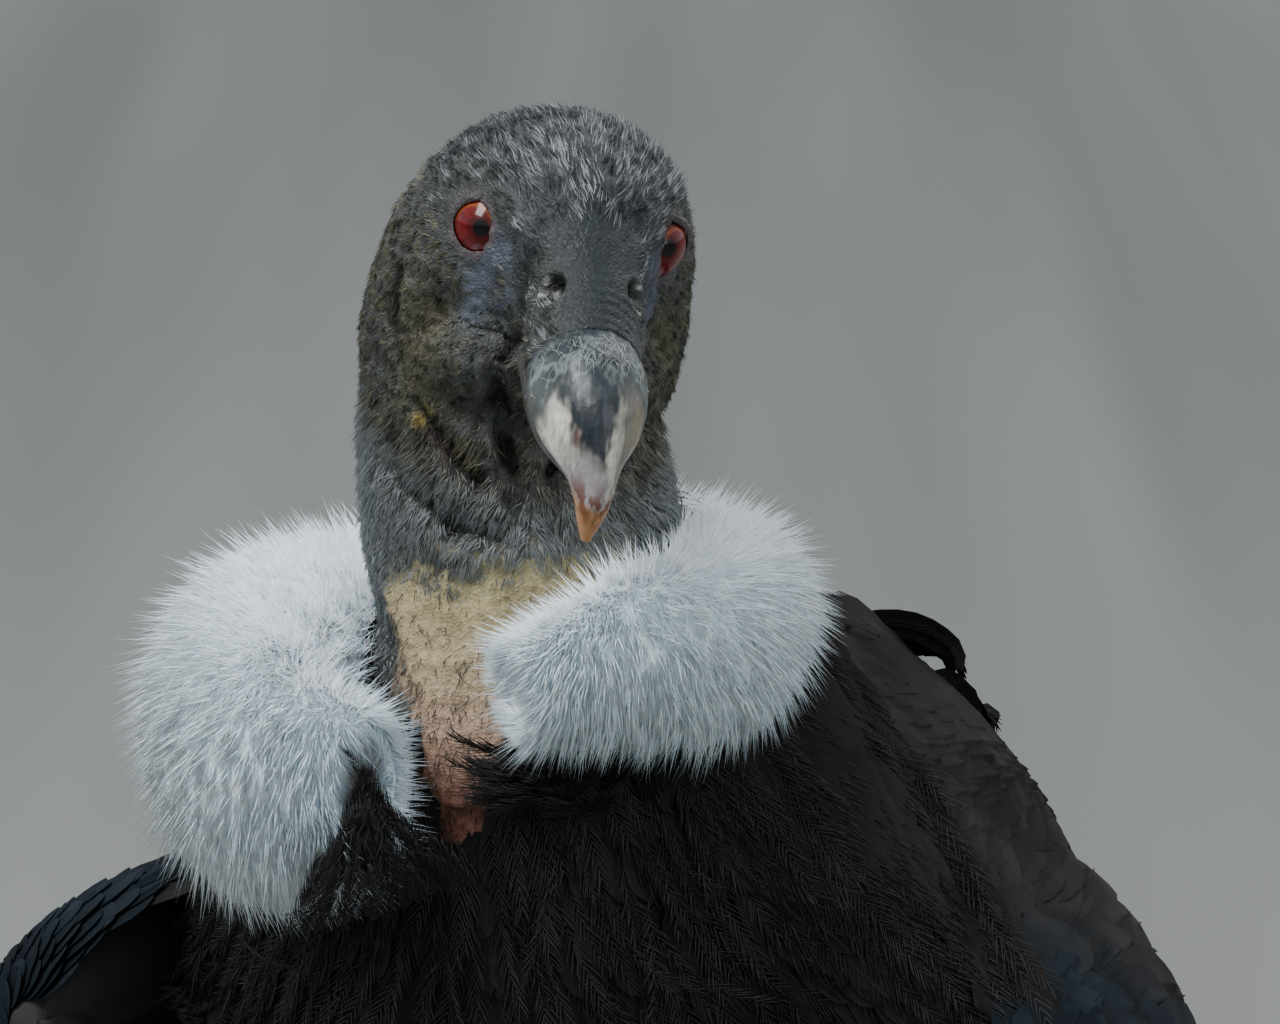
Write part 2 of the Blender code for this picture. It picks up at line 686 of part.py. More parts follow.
def wing_vane(side, tier, x, shift):
    """One feather of a tier, at the share x of the way from the upper lane to the lower one."""
    name, count, root, root_span, tips, tip_span, over = tier
    bulge = tips[1] - (tips[0] + tips[2]) / 2
    tip = between(tips[0], tips[2], x) + bulge * 4 * x * (1 - x) + shift
    reach = sum(tips) / 3 - root
    rows = []
    for u, share in COVERT_OUTLINE if name.endswith("coverts") else VANE_OUTLINE:
        t = between(root, tip, u)
        ease = u * u * (3 - 2 * u)
        low = between(root_span[0], tip_span[0], ease)
        high = between(root_span[1], tip_span[1], ease)
        centre = between(low, high, x)
        half = (high - low) / count / 2 * VANE_OVERLAP * share
        lift = np.interp((t - root) / reach, [0.0, VANE_BEND, 1.0], over) * MM - arm_sink(t)
        tilt = VANE_TILT * share
        upper, lower = lift - tilt, lift + tilt
        rows.append(
            [
                wing_point(t, centre - half, side, upper),
                wing_point(t, centre + half, side, lower),
                wing_point(t, centre + half, side, lower - VANE_THICK),
                wing_point(t, centre - half, side, upper - VANE_THICK),
            ]
        )
    return strip("vane", rows)


def make_wing(side):
    """The folded wing: the arm under small feathers, and the feathers in tiers on it."""
    rings = []
    across = 7
    for t in np.linspace(0.0, ARM_END, 10):
        thick = wing_arc(t, side)[3]
        sink = arm_sink(t)
        spread = np.linspace(ARM_EDGES[0], ARM_EDGES[1], across)
        outer = [wing_point(t, v, side, -sink) for v in spread]
        inner = [wing_point(t, v, side, -max(thick, sink + 0.003)) for v in spread[-2:0:-1]]
        rings.append(np.array(outer + inner))
    wing = bridge(f"wing_{side}", rings)
    random = np.random.default_rng(SEED)
    vanes = []
    for tier in WING_TIERS:
        for k in range(tier[1]):
            vanes.append(wing_vane(side, tier, (k + 0.5) / tier[1], random.uniform(-0.07, 0.07)))
    boolean(wing, "UNION", vanes, "MANIFOLD")
    return wing


def tail_point(share, x, lift):
    """A point on the tail: the share of its length, how far to the left and how far over its middle."""
    along = np.array([0.0, math.cos(TAIL_SLOPE), -math.sin(TAIL_SLOPE)])
    over = np.array([0.0, math.sin(TAIL_SLOPE), math.cos(TAIL_SLOPE)])
    drop = TAIL_CAMBER * (x / TAIL_HALF) ** 2
    start = np.array(TAIL_ROOT) + along * GAP + np.array([x, 0.0, 0.0])
    return start + along * share * TAIL_LENGTH + over * (lift - drop)


def tail_vane(root, tip, xs, half, lift, tilt=0.0):
    """A tail feather between two shares of the tail's length, with its x at both, its width, its lift
    and how far its left edge is tilted up."""
    rows = []
    for u, share in VANE_OUTLINE:
        at = between(root, tip, u)
        x = between(xs[0], xs[1], u)
        wide = half * share * between(0.7, 1.0, u)
        rise = tilt * wide / half
        rows.append(
            [
                tail_point(at, x - wide, lift - rise),
                tail_point(at, x + wide, lift + rise),
                tail_point(at, x + wide, lift + rise - VANE_THICK),
                tail_point(at, x - wide, lift - rise - VANE_THICK),
            ]
        )
    return strip("rectrix", rows)


def make_tail():
    """The closed tail: its root under small feathers, twelve long feathers and the coverts over them."""
    rings = []
    for share, half_width, half_height in TAIL_CORE:
        angles = [2 * math.pi * (k + 0.5) / 12 for k in range(12)]
        rings.append([tail_point(share, math.cos(a) * half_width, math.sin(a) * half_height) for a in angles])
    tail = bridge("tail", rings)
    vanes = []
    for sign, middle_lift in zip((1.0, -1.0), MIDDLE_PAIR[1]):
        xs = [sign * x for x in MIDDLE_PAIR[0]]
        vanes.append(tail_vane(0.05, 1.0, xs, RECTRIX_HALF, middle_lift))
        for k in range(OUTER_PAIRS):
            xs = [sign * (start + step * k) for start, step in zip(OUTER_START, OUTER_STEP)]
            tip = 1.0 - 0.0020 * (k + 1) ** 2
            vanes.append(tail_vane(0.05, tip, xs, RECTRIX_HALF, 0.0, sign * RECTRIX_TILT))
    for k in range(TAIL_COVERTS):
        place = (k - (TAIL_COVERTS - 1) / 2) * 0.0150
        lift = 0.0092 - 0.0014 * (k % 2)
        vanes.append(tail_vane(0.02, 0.42 - abs(place), (place * 0.8, place), 0.0120, lift))
    boolean(tail, "UNION", vanes, "MANIFOLD")
    return tail


def ruff_frame(side, t):
    """The ruff's middle at station t, its directions ahead, out and up, and its thickness and height."""
    sign = mirrored(side)
    rows = [
        [place[0] * sign, place[1], place[2], thick, tall]
        for _, place, thick, tall in RUFF_STATIONS[side]
    ]
    last = len(rows) - 1.0
    row = spline(rows, min(max(t, 0.0), last))
    ahead = unit(spline(rows, min(t + 0.1, last))[:3] - spline(rows, max(t - 0.1, 0.0))[:3])
    if t <= 0.0:
        ahead = np.array([sign, 0.0, 0.0])
    out = unit(np.cross((0.0, 0.0, 1.0), ahead)) * sign
    up = unit(np.cross(ahead, out)) * sign
    return row[:3], ahead, out, up, row[3], row[4]


def around_ruff(frame, angle, reach):
    """A point off the ruff's middle: its angle from straight out upwards, and its share of the way out."""
    middle, _, out, up, thick, tall = frame
    return middle + reach * (out * math.cos(angle) * thick + up * math.sin(angle) * tall)


def ruff_lock(side, t, angle, random):
    """One lock of down, from the core outwards and bent over down the lie."""
    drift = random.uniform(-0.12, 0.16)
    bend = RUFF_BEND * random.uniform(0.8, 1.2)
    wide = LOCK_HALF * random.uniform(0.85, 1.1)
    centres, widths, thicknesses = [], [], []
    for s, reach, share in LOCK_SHAPE:
        centres.append(around_ruff(ruff_frame(side, t + drift * s), angle - bend * s * s, reach))
        widths.append(wide * share)
        thicknesses.append(LOCK_THICK * (1.15 - s))
    return ribbon("lock", centres, ruff_frame(side, t)[1], widths, thicknesses)


def end_lock(side, t, angle):
    """One of the locks that close the ruff's end at the throat, where they run on ahead."""
    frame = ruff_frame(side, t)
    ahead = frame[1]
    centres = [around_ruff(frame, angle, reach) + ahead * on for on, reach, _ in END_SHAPE]
    across = unit(np.cross(ahead, centres[1] - frame[0]))
    widths = [wide for _, _, wide in END_SHAPE]
    thicknesses = [LOCK_THICK * share for share in (1.15, 1.1, 0.7, 0.3)]
    return ribbon("lock", centres, across, widths, thicknesses)


def keep_side(obj, side):
    """Cuts off what crosses the bird's middle plane, where the other half begins."""
    far = -mirrored(side)
    points = [
        (far * x - far * GAP / 2, y, z)
        for x in (0.0, 1.0)
        for y in (-1.0, 1.0)
        for z in (-1.0, 1.0)
    ]
    faces = [(0, 1, 3, 2), (4, 6, 7, 5), (0, 4, 5, 1), (2, 3, 7, 6), (0, 2, 6, 4), (1, 5, 7, 3)]
    boolean(obj, "DIFFERENCE", [new_object("far_side", points, faces)], "MANIFOLD")


def make_ruff(side):
    """Half of the collar of down, from nape to throat: a core with locks that overlap down its lie."""
    last = len(RUFF_STATIONS[side]) - 1.0
    angles = [2 * math.pi * k / 8 for k in range(8)]
    rings = []
    for t in np.linspace(0.0, last, 9):
        scale = RUFF_CORE * (1.0 if t < last else 0.5)
        rings.append([around_ruff(ruff_frame(side, t), a, scale) for a in angles])
    ruff = bridge(f"ruff_{side}", rings)
    random = np.random.default_rng(SEED)
    locks = [end_lock(side, last - 0.3, math.radians(degrees)) for degrees in END_ANGLES]
    for row, degrees in enumerate(RUFF_ANGLES):
        for k in range(RUFF_PLACES):
            t = last * (k + 0.35 + 0.5 * (row % 2)) / RUFF_PLACES
            angle = math.radians(degrees + random.uniform(-7, 7))
            locks.append(ruff_lock(side, t, angle, random))
    boolean(ruff, "UNION", locks, "MANIFOLD")
    keep_side(ruff, side)
    return ruff


def make_thigh(side):
    """The feathered thigh and shin, down to the cuff above the ankle."""
    sign = mirrored(side)
    rows = [[p[0] * sign, p[1], p[2], wide, long] for _, p, wide, long in THIGH_STATIONS]
    rings = []
    for t in np.linspace(0.0, len(rows) - 1.0, 7):
        x, y, z, wide, long = spline(rows, t)
        rings.append(
            [
                np.array([x + math.cos(a) * wide, y + math.sin(a) * long, z])
                for a in (2 * math.pi * k / 12 for k in range(12))
            ]
        )
    return bridge(f"thigh_{side}", rings)


def toe_line(side, turn, length, radius):
    """The middle line of a toe on the floor: up over its joint, along and a little down to its end."""
    sign = mirrored(side)
    angle = math.radians(turn) * sign
    ahead = np.array([math.sin(angle), -math.cos(angle), 0.0])
    start = np.array([TOE_JOINT[0] * sign, TOE_JOINT[1], TOE_JOINT[2]])
    shape = ((0.0, 0.0), (0.18, -0.15), (0.42, -0.75), (0.7, -1.0), (1.0, -1.0))
    low = radius * 0.78
    return [
        start + ahead * length * share + np.array([0.0, 0.0, drop * (start[2] - low)])
        for share, drop in shape
    ]


def make_tarsus(side):
    """The scaly shank between the feathered leg and the toes."""
    sign = mirrored(side)
    ankle = np.array([ANKLE[0] * sign, ANKLE[1], ANKLE[2]])
    joint = np.array([TOE_JOINT[0] * sign, TOE_JOINT[1], TOE_JOINT[2]])
    centres = [ankle + (joint - ankle) * share for share, _ in TARSUS_SHAPE]
    radii = [TARSUS_RADIUS * size for _, size in TARSUS_SHAPE]
    return tube(f"tarsus_{side}", centres, radii, 10, 1.15, (0.0, -1.0, 0.0))


def make_foot(side):
    """The four toes and the pad where they meet, flat underneath where the bird stands."""
    sign = mirrored(side)
    joint = np.array([TOE_JOINT[0] * sign, TOE_JOINT[1], TOE_JOINT[2] * 0.72])
    foot = ellipsoid(f"foot_{side}", joint, FOOT_PAD, np.eye(3), 12, 6)
    pieces = []
    for name, turn, length, radius in TOES:
        radii = [radius * size for size in TOE_SHAPE]
        pieces.append(tube(f"toe_{name}", toe_line(side, turn, length, radius), radii, 8, 0.92))
    boolean(foot, "UNION", pieces)
    points = [(x, y, z) for x in (-0.5, 0.5) for y in (-0.5, 0.5) for z in (-0.5, 0.0)]
    faces = [(0, 1, 3, 2), (4, 6, 7, 5), (0, 4, 5, 1), (2, 3, 7, 6), (0, 2, 6, 4), (1, 5, 7, 3)]
    boolean(foot, "DIFFERENCE", [new_object("floor_cut", points, faces)])
    return foot


def make_claws(side):
    """The claws, each set on the end of its toe."""
    claws = []
    for name, turn, length, radius in TOES:
        line = toe_line(side, turn, length, radius)
        end = line[-1]
        ahead = unit(line[-1] - line[-2])
        long = CLAW_LENGTH[name]
        centres, radii = [], []
        for share, rise, thick in CLAW_SHAPE:
            centres.append(end + ahead * (GAP + long * share) + np.array([0.0, 0.0, rise * long]))
            radii.append(radius * thick)
        lowest = min(c[2] - r for c, r in zip(centres, radii))
        lift = max(0.0, -lowest) + GAP
        centres = [c + np.array([0.0, 0.0, lift]) for c in centres]
        claws.append(tube(f"claw_{side}_{name}", centres, radii, 6, 1.0))
    return claws


def material(name, colour, roughness):
    """A Principled material of one colour."""
    made = bpy.data.materials.new(name)
    made.use_nodes = True
    shader = made.node_tree.nodes["Principled BSDF"]
    shader.inputs["Base Color"].default_value = (*colour, 1.0)
    shader.inputs["Roughness"].default_value = roughness
    made.diffuse_color = (*colour, 1.0)
    return made


def finish(obj, look):
    """Gives an object its material and shades it smooth between its facets."""
    obj.data.materials.clear()
    obj.data.materials.append(look)
    obj.data.shade_smooth()
    obj.data.set_sharp_from_angle(angle=math.radians(50))


def centre_on_floor(objects):
    """Moves the whole bird so that the origin is on the floor under the middle of its box."""
    points = np.array([v.co for obj in objects for v in obj.data.vertices])
    low, high = points.min(0), points.max(0)
    shift = Vector((-(low[0] + high[0]) / 2, -(low[1] + high[1]) / 2, -low[2]))
    for obj in objects:
        for vert in obj.data.vertices:
            vert.co += shift
        obj.data.update()


def clear_scene():
    """Removes the objects that the scene opens with."""
    for obj in list(bpy.data.objects):
        bpy.data.objects.remove(obj)


def main():
    """Builds every node and gives each its material."""
    clear_scene()
    feather = material("feather_black", FEATHER_BLACK, 0.55)
    skin = material("skin_grey", SKIN_GREY, 0.6)
    ochre = material("skin_ochre", SKIN_OCHRE, 0.6)
    down = material("down_white", DOWN_WHITE, 0.9)
    horn = material("horn", HORN_IVORY, 0.3)
    eye_look = material("eye", EYE_RED, 0.08)
    leg = material("leg_skin", LEG_GREY, 0.6)
    claw_look = material("claw", CLAW_BLACK, 0.35)
    made = []

    def keep(obj, look):
        finish(obj, look)
        made.append(obj)
        return obj

    torso = keep(make_torso(), feather)
    head = make_head()
    neck = make_neck()
    clear_of(neck, head)
    keep(neck, ochre)
    upper, lower = make_bill()
    clear_of(lower, head, upper)
    keep(head, skin)
    keep(upper, horn)
    keep(lower, horn)
    tail = make_tail()
    clear_of(tail, torso)
    keep(tail, feather)
    for side in ("left", "right"):
        keep(make_eye(side), eye_look)
        thigh = make_thigh(side)
        clear_of(thigh, torso)
        wing = make_wing(side)
        clear_of(wing, torso, thigh, tail)
        keep(thigh, feather)
        keep(wing, feather)
        ruff = make_ruff(side)
        clear_of(ruff, torso, neck, head, wing)
        keep(ruff, down)
        tarsus = make_tarsus(side)
        foot = make_foot(side)
        clear_of(tarsus, thigh, foot)
        keep(tarsus, leg)
        keep(foot, leg)
        for claw in make_claws(side):
            clear_of(claw, foot)
            keep(claw, claw_look)
    centre_on_floor(made)


main()
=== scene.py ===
"""Looks of a standing Andean condor, an adult female at rest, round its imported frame.

Everything is worked out in metres in the bird's own frame: it faces -Y, its left is +X and the floor is
z = 0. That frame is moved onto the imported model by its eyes. Skin, coat and feathers are laid on the same
surfaces as the frame's solids: one loft from tail to bill, the folded wings, the tail, ruff and legs.
"""

import math
from functools import partial

import bpy
import numpy as np
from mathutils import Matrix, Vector, kdtree


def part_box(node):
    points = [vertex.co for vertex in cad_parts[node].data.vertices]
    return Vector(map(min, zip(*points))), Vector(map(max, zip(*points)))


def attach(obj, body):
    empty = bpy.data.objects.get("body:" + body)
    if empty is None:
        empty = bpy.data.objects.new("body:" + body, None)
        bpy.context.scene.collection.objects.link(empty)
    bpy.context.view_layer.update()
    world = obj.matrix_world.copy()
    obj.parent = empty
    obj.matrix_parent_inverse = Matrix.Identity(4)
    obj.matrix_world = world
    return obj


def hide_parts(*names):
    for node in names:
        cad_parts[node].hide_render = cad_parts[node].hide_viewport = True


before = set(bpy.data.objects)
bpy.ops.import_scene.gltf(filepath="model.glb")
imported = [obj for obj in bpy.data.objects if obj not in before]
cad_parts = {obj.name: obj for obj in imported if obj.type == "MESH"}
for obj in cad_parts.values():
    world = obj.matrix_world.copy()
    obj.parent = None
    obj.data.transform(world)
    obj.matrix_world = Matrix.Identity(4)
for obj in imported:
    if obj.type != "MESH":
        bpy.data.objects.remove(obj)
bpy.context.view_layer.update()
MM = 0.001
SEED = 11
SIDES = ("left", "right")
TURN = 2 * math.pi
LEFTWARDS = np.array([1.0, 0.0, 0.0])
UPWARDS = np.array([0.0, 0.0, 1.0])

# The camera: the photo's size and its scale at the depth of the eyes, in metres a pixel
PHOTO = (1280, 1024)
PIXEL = 0.000265
CAMERA_AZIMUTH = 18.0
CAMERA_ELEVATION = 9.0
CAMERA_DISTANCE = 3.0
EYES_IN_PHOTO = (571.5, 239.5)
IRIS_AHEAD = 0.0048
SENSOR_WIDTH = 36.0
CLIP_END = 100.0

# Soft lights: their place from the head, size and power. A weak even light comes from all round
LIGHTS = [
    ("key", (-1.2, -1.8, 2.5), 1.6, 150.0),
    ("fill", (2.6, -1.8, 1.0), 2.2, 34.0),
    ("rim", (0.9, 2.2, 2.0), 1.6, 26.0),
]
WORLD_LIGHT = 1.0
WORLD_COLOUR = (0.88, 0.94, 1.0, 1.0)
FLOOR_SHADES = [(0.36, (0.160, 0.165, 0.152)), (0.66, (0.222, 0.228, 0.211))]
FLOOR_HALF = 30.0

# How fine the skin is, how deep the body's coat, and how many bristles and fibres there are
HEAD_VOXEL = 0.00105
LEG_VOXEL = 0.0016
BODY_VOXEL = 0.0048
BODY_COAT = 0.0085
BRISTLES = 1.75e6
FUR_LENGTH = 0.0030
FUR_THICK = 0.00017
ROOT_DEPTH = 0.0003
DOWN_FIBRES = 78000
DOWN_LONGEST = 0.0125
DOWN_THICK = 0.00030
RUFF_CORE = 0.84
COAT_LIMIT = 190000

# Head: where it is and how it is turned
EYE_MIDPOINT = np.array([0.0245, -0.175, 0.670])
HEAD_YAW = math.radians(28.0)
HEAD_PITCH = math.radians(33.0)
HEAD_ROLL = math.radians(8.0)
EYE_RADIUS = 0.0100
EYE_SET_BACK = -0.0041
EYE_PLACE = {"left": (22.3, -3.6, -1.7), "right": (21.0, -4.1, -0.5)}
EYE_DIVERGENCE = {"left": math.radians(40.0), "right": math.radians(48.0)}
EYE_OPENING = (0.0073, 0.0087)
LID_RIM = 0.0013
SOCKET_GAP = 0.0004

# Where each eye looks, as azimuth and elevation in degrees: 0, 0 is straight ahead along -Y
GAZE = {"left": (49.0, -5.0), "right": (2.0, -1.0)}

# The flesh from tail root to neck: the point on the back and the point on the belly, each as (y, z), the
# half width, the height share of the widest place and the squareness
BODY_STATIONS = [
    ("tail_root", (0.246, 0.280), (0.222, 0.224), 0.042, 0.50, 2.1),
    ("rump", (0.205, 0.352), (0.150, 0.212), 0.070, 0.52, 2.1),
    ("loin", (0.155, 0.422), (0.075, 0.212), 0.096, 0.54, 2.2),
    ("belly", (0.102, 0.484), (0.004, 0.228), 0.113, 0.56, 2.2),
    ("ribs", (0.048, 0.525), (-0.062, 0.262), 0.119, 0.57, 2.2),
    ("breast", (0.000, 0.546), (-0.124, 0.315), 0.114, 0.56, 2.2),
    ("shoulders", (-0.046, 0.556), (-0.168, 0.380), 0.100, 0.54, 2.1),
    ("crop", (-0.078, 0.566), (-0.190, 0.445), 0.078, 0.50, 2.1),
    ("neck_root", (-0.095, 0.582), (-0.190, 0.505), 0.055, 0.46, 2.0),
    ("neck_low", (-0.098, 0.603), (-0.182, 0.550), 0.044, 0.46, 2.0),
]

# The same for the head, in millimetres in its own plane as (forward, up) from the point midway between
# the irises, with how much the ring narrows upwards
HEAD_STATIONS = [
    ("neck_top", (-42, -74), (26, -60), 41.5, 0.50, 2.0, 0.00),
    ("nape", (-50, -48), (21, -54), 43.5, 0.52, 2.0, 0.00),
    ("occiput", (-52, -21), (16, -49), 43.0, 0.50, 2.1, 0.04),
    ("ear", (-43, 6), (11, -45), 40.5, 0.52, 2.2, 0.09),
    ("crown", (-27, 21.5), (8, -41), 36.5, 0.54, 2.2, 0.12),
    ("temple", (-11, 26.5), (8, -37), 30.2, 0.54, 2.2, 0.10),
    ("eyes", (4, 25), (11, -31), 23.4, 0.54, 2.2, 0.08),
    ("lores", (17, 20), (18, -23), 18.4, 0.52, 2.2, 0.14),
    ("cere_root", (28, 16), (27, -17), 16.2, 0.50, 2.2, 0.22),
    ("nostrils", (38, 13.5), (36, -14.5), 15.2, 0.48, 2.2, 0.22),
    ("cere_front", (51, 10.5), (48, -13), 15.0, 0.46, 2.2, 0.20),
]
JAW_STATIONS = [
    ("throat", (-14, -30), (12, -58), 38.0, 0.55, 2.1, 0.0),
    ("cheek", (4, -24), (17, -50), 31.0, 0.55, 2.1, 0.0),
    ("corner", (16, -21), (21, -42), 22.5, 0.60, 2.1, 0.0),
    ("chin", (27.5, -19.5), (26.5, -34), 15.6, 0.65, 2.1, 0.0),
]
UPPER_BILL_STATIONS = [
    ("root", (45.0, 11.2), (43.0, -12.5), 13.6, 0.46, 2.2, 0.20),
    ("base", (51.0, 10.3), (48.0, -13), 14.9, 0.46, 2.2, 0.20),
    ("swell", (62, 11.0), (57, -15), 15.8, 0.42, 2.2, 0.20),
    ("bend", (75, 7.0), (66, -18), 13.0, 0.42, 2.1, 0.18),
    ("hook", (84.5, -2), (74, -20), 7.6, 0.46, 2.0, 0.12),
    ("point", (90, -12.0), (82.0, -21.5), 4.8, 0.50, 2.0, 0.05),
    ("notch", (91.0, -18.0), (84.6, -24.2), 3.7, 0.50, 2.0, 0.03),
    ("tip", (90.8, -27.2), (88.4, -27.9), 1.3, 0.50, 2.0, 0.00),
]
LOWER_BILL_STATIONS = [
    ("base", (28, -13.0), (26, -31.5), 13.6, 0.62, 2.3, 0.0),
    ("middle", (43, -12.0), (43, -28.5), 12.4, 0.58, 2.3, 0.0),
    ("front", (58, -14.0), (59, -26.5), 10.2, 0.55, 2.2, 0.0),
    ("tip", (70, -18.0), (71, -24.5), 4.2, 0.55, 2.0, 0.0),
]

# The folded left wing from its front to its tip: upper edge, lower edge, widest x, thickness inwards
WING_STATIONS = [
    ("front", (0.127, -0.143, 0.438), (0.125, -0.146, 0.420), 0.136, 0.012),
    ("wrist", (0.118, -0.126, 0.458), (0.120, -0.133, 0.405), 0.151, 0.028),
    ("forearm", (0.106, -0.095, 0.472), (0.116, -0.108, 0.365), 0.161, 0.034),
    ("shoulder", (0.094, -0.040, 0.476), (0.116, -0.063, 0.325), 0.160, 0.032),
    ("elbow", (0.082, 0.030, 0.474), (0.110, 0.000, 0.292), 0.152, 0.029),
    ("arm", (0.062, 0.100, 0.452), (0.104, 0.065, 0.262), 0.143, 0.025),
    ("coverts", (0.040, 0.170, 0.416), (0.094, 0.135, 0.234), 0.128, 0.020),
    ("tertials", (0.024, 0.240, 0.368), (0.080, 0.210, 0.203), 0.108, 0.015),
    ("secondaries", (0.018, 0.312, 0.307), (0.064, 0.285, 0.172), 0.086, 0.012),
    ("primaries", (0.017, 0.385, 0.244), (0.051, 0.360, 0.144), 0.066, 0.009),
    ("points", (0.018, 0.450, 0.184), (0.041, 0.430, 0.120), 0.049, 0.006),
    ("tip", (0.024, 0.505, 0.130), (0.033, 0.495, 0.104), 0.034, 0.004),
]
WRIST_HELD = {"left": (0.006, -0.014), "right": (0.014, 0.010)}
WRIST_FADE = 5.0
ARM_SINK = ([0.0, 1.0, 8.6, 11.0], [0.0, 0.0, 9.9, 4.6])

TAIL_ROOT = np.array([0.0, 0.235, 0.248])
TAIL_SLOPE = math.radians(36.9)
TAIL_LENGTH = 0.33
TAIL_CAMBER = 0.008
TAIL_HALF = 0.075
# The coverts of the tail in rows: the share of the tail where they start, how many, and their length in it
TAIL_COVERTS = [(0.02, 9, 0.40), (-0.04, 9, 0.30), (-0.10, 8, 0.24)]
TAIL_CORE = [(-0.06, 0.037, 0.024), (0.05, 0.039, 0.0215), (0.17, 0.042, 0.014), (0.38, 0.038, 0.006)]

RUFF_STATIONS = {
    "left": [
        ("nape", (0.0005, -0.082, 0.566), 0.020, 0.024),
        ("behind", (0.042, -0.098, 0.561), 0.024, 0.026),
        ("side", (0.056, -0.145, 0.559), 0.023, 0.029),
        ("front", (0.047, -0.186, 0.560), 0.023, 0.025),
        ("throat", (0.024, -0.206, 0.554), 0.013, 0.016),
    ],
    "right": [
        ("nape", (0.0005, -0.082, 0.566), 0.020, 0.024),
        ("behind", (0.053, -0.102, 0.547), 0.030, 0.033),
        ("side", (0.0700, -0.148, 0.537), 0.0365, 0.043),
        ("front", (0.0565, -0.190, 0.525), 0.029, 0.040),
        ("throat", (0.024, -0.208, 0.524), 0.014, 0.026),
    ],
}

THIGH_STATIONS = [
    ("hip", (0.070, -0.012, 0.345), 0.050, 0.084),
    ("thigh", (0.072, 0.016, 0.280), 0.049, 0.076),
    ("knee", (0.071, 0.044, 0.212), 0.039, 0.054),
    ("shin", (0.068, 0.062, 0.162), 0.028, 0.035),
    ("cuff", (0.066, 0.070, 0.138), 0.0190, 0.022),
]
ANKLE = np.array([0.066, 0.072, 0.140])
TOE_JOINT = np.array([0.066, 0.028, 0.022])
TOES = [
    ("inner", -24.0, 0.068, 0.0080),
    ("middle", 0.0, 0.098, 0.0088),
    ("outer", 26.0, 0.072, 0.0080),
    ("hind", 176.0, 0.034, 0.0070),
]
TARSUS_RADIUS = 0.0105
TARSUS_SHAPE = [(-0.2, 1.1), (0.0, 1.12), (0.12, 1.0), (0.5, 0.9), (0.8, 1.0), (0.96, 1.15)]
TOE_SHAPE = [1.25, 1.15, 1.0, 0.95, 0.82]
TOE_ARCH = [(0.0, 0.0), (0.18, -0.15), (0.42, -0.75), (0.7, -1.0), (1.0, -1.0)]
TOE_RINGS = 24
CLAW_LENGTH = {"inner": 0.026, "middle": 0.028, "outer": 0.022, "hind": 0.020}
# A claw along its length: places, how far it rises and how thick it is
CLAW_SHAPE = ([-0.2, 0, 0.35, 0.7, 1.0], [0, 0, 0.10, 0.02, -0.16], [0.6, 0.74, 0.62, 0.40, 0.06])

# The middle lines of the two feathers that stand up off the left of the back, in millimetres
LOOSE_FEATHERS = [
    [(24, 16, 514), (37, 24, 530), (53, 32, 533), (65, 40, 527), (70, 46, 516)],
    [(49, 28, 501), (60, 38, 515), (66, 46, 512), (71, 52, 504), (72, 56, 496)],
]

# Colours: plumage, fur, down, skin, eyes, horn and claws
BLACK = np.array([0.0115, 0.0112, 0.0122])
BROWN = np.array([0.0235, 0.0195, 0.0180])
# Black with a painted blue sheen, for the wing's coverts and primaries
SHEEN_BLUE = np.array([0.0072, 0.0105, 0.0140])
PALE = np.array([0.30, 0.31, 0.32])
FUR_DARK = np.array([0.0070, 0.0080, 0.0090])
FUR_SILVER = np.array([0.390, 0.418, 0.420])
FUR_OLIVE = np.array([0.255, 0.242, 0.160])
HAIR_DARK = 0.018
HAIR_TAN = np.array([0.20, 0.15, 0.10])
DOWN_CORE = np.array([0.875, 0.935, 0.99])
DOWN_WHITE = np.array([0.875, 0.945, 1.0])
SKIN_BASE = (0.034, 0.037, 0.035)
SKIN_RUST = np.array([0.160, 0.050, 0.030])
SHREDS = np.array([0.42, 0.42, 0.39])
LID = np.array([0.082, 0.066, 0.072])
LID_INNER = np.array([0.22, 0.070, 0.030])
SCUTES = np.array([0.105, 0.100, 0.092])
IRIS = np.array([0.100, 0.0010, 0.0013])
IRIS_DEEP = np.array([0.040, 0.0006, 0.0007])
IRIS_RIM = np.array([0.22, 0.062, 0.010])
PUPIL = 0.0008
SOCKET = np.array([0.02, 0.01, 0.01])
CERE = (0.0080, 0.0125, 0.0160)
IVORY = np.array([0.56, 0.54, 0.470])
SLATE = np.array([0.0085, 0.0125, 0.0165])
PEARL = np.array([0.20, 0.185, 0.205])
GLASSY = np.array([0.026, 0.037, 0.038])
# Painted shade on the bill's left side
HORN_PAINTED_SHADE = np.array([0.105, 0.095, 0.078])
HORN_RIM = np.array([0.210, 0.165, 0.105])
HORN_EDGE = np.array([0.070, 0.058, 0.050])
HORN_LIGHT = np.array([0.15, 0.18, 0.18])
HORN_TAN = np.array([0.330, 0.168, 0.070])
HORN_STAIN = np.array([0.105, 0.030, 0.011])
HORN_SPECK = np.array([0.060, 0.014, 0.010])
HORN_FLAKES = np.array([0.24, 0.28, 0.275])
HORN_SHREDS = np.array([0.34, 0.37, 0.36])
HORN_LOWER = np.array([0.045, 0.043, 0.040])
CLAW_ROOT = np.array([0.035, 0.032, 0.030])
CLAW_WORN = (0.05, 0.045, 0.04)


def mirrored(side):
    """+1 for the bird's left and -1 for its right."""
    return 1.0 if side == "left" else -1.0


def unit(v):
    """Vectors at length 1, along the last axis."""
    v = np.asarray(v, float)
    return v / np.maximum(np.linalg.norm(v, axis=-1, keepdims=True), 1e-12)


def dot(a, b):
    """Products of vectors along the last axis, kept as a column."""
    return (a * b).sum(-1, keepdims=True)


def smooth(low, high, x):
    """0 below low, 1 above high and an even curve from one to the other."""
    u = np.clip((np.asarray(x, float) - low) / (high - low), 0.0, 1.0)
    return u * u * (3 - 2 * u)


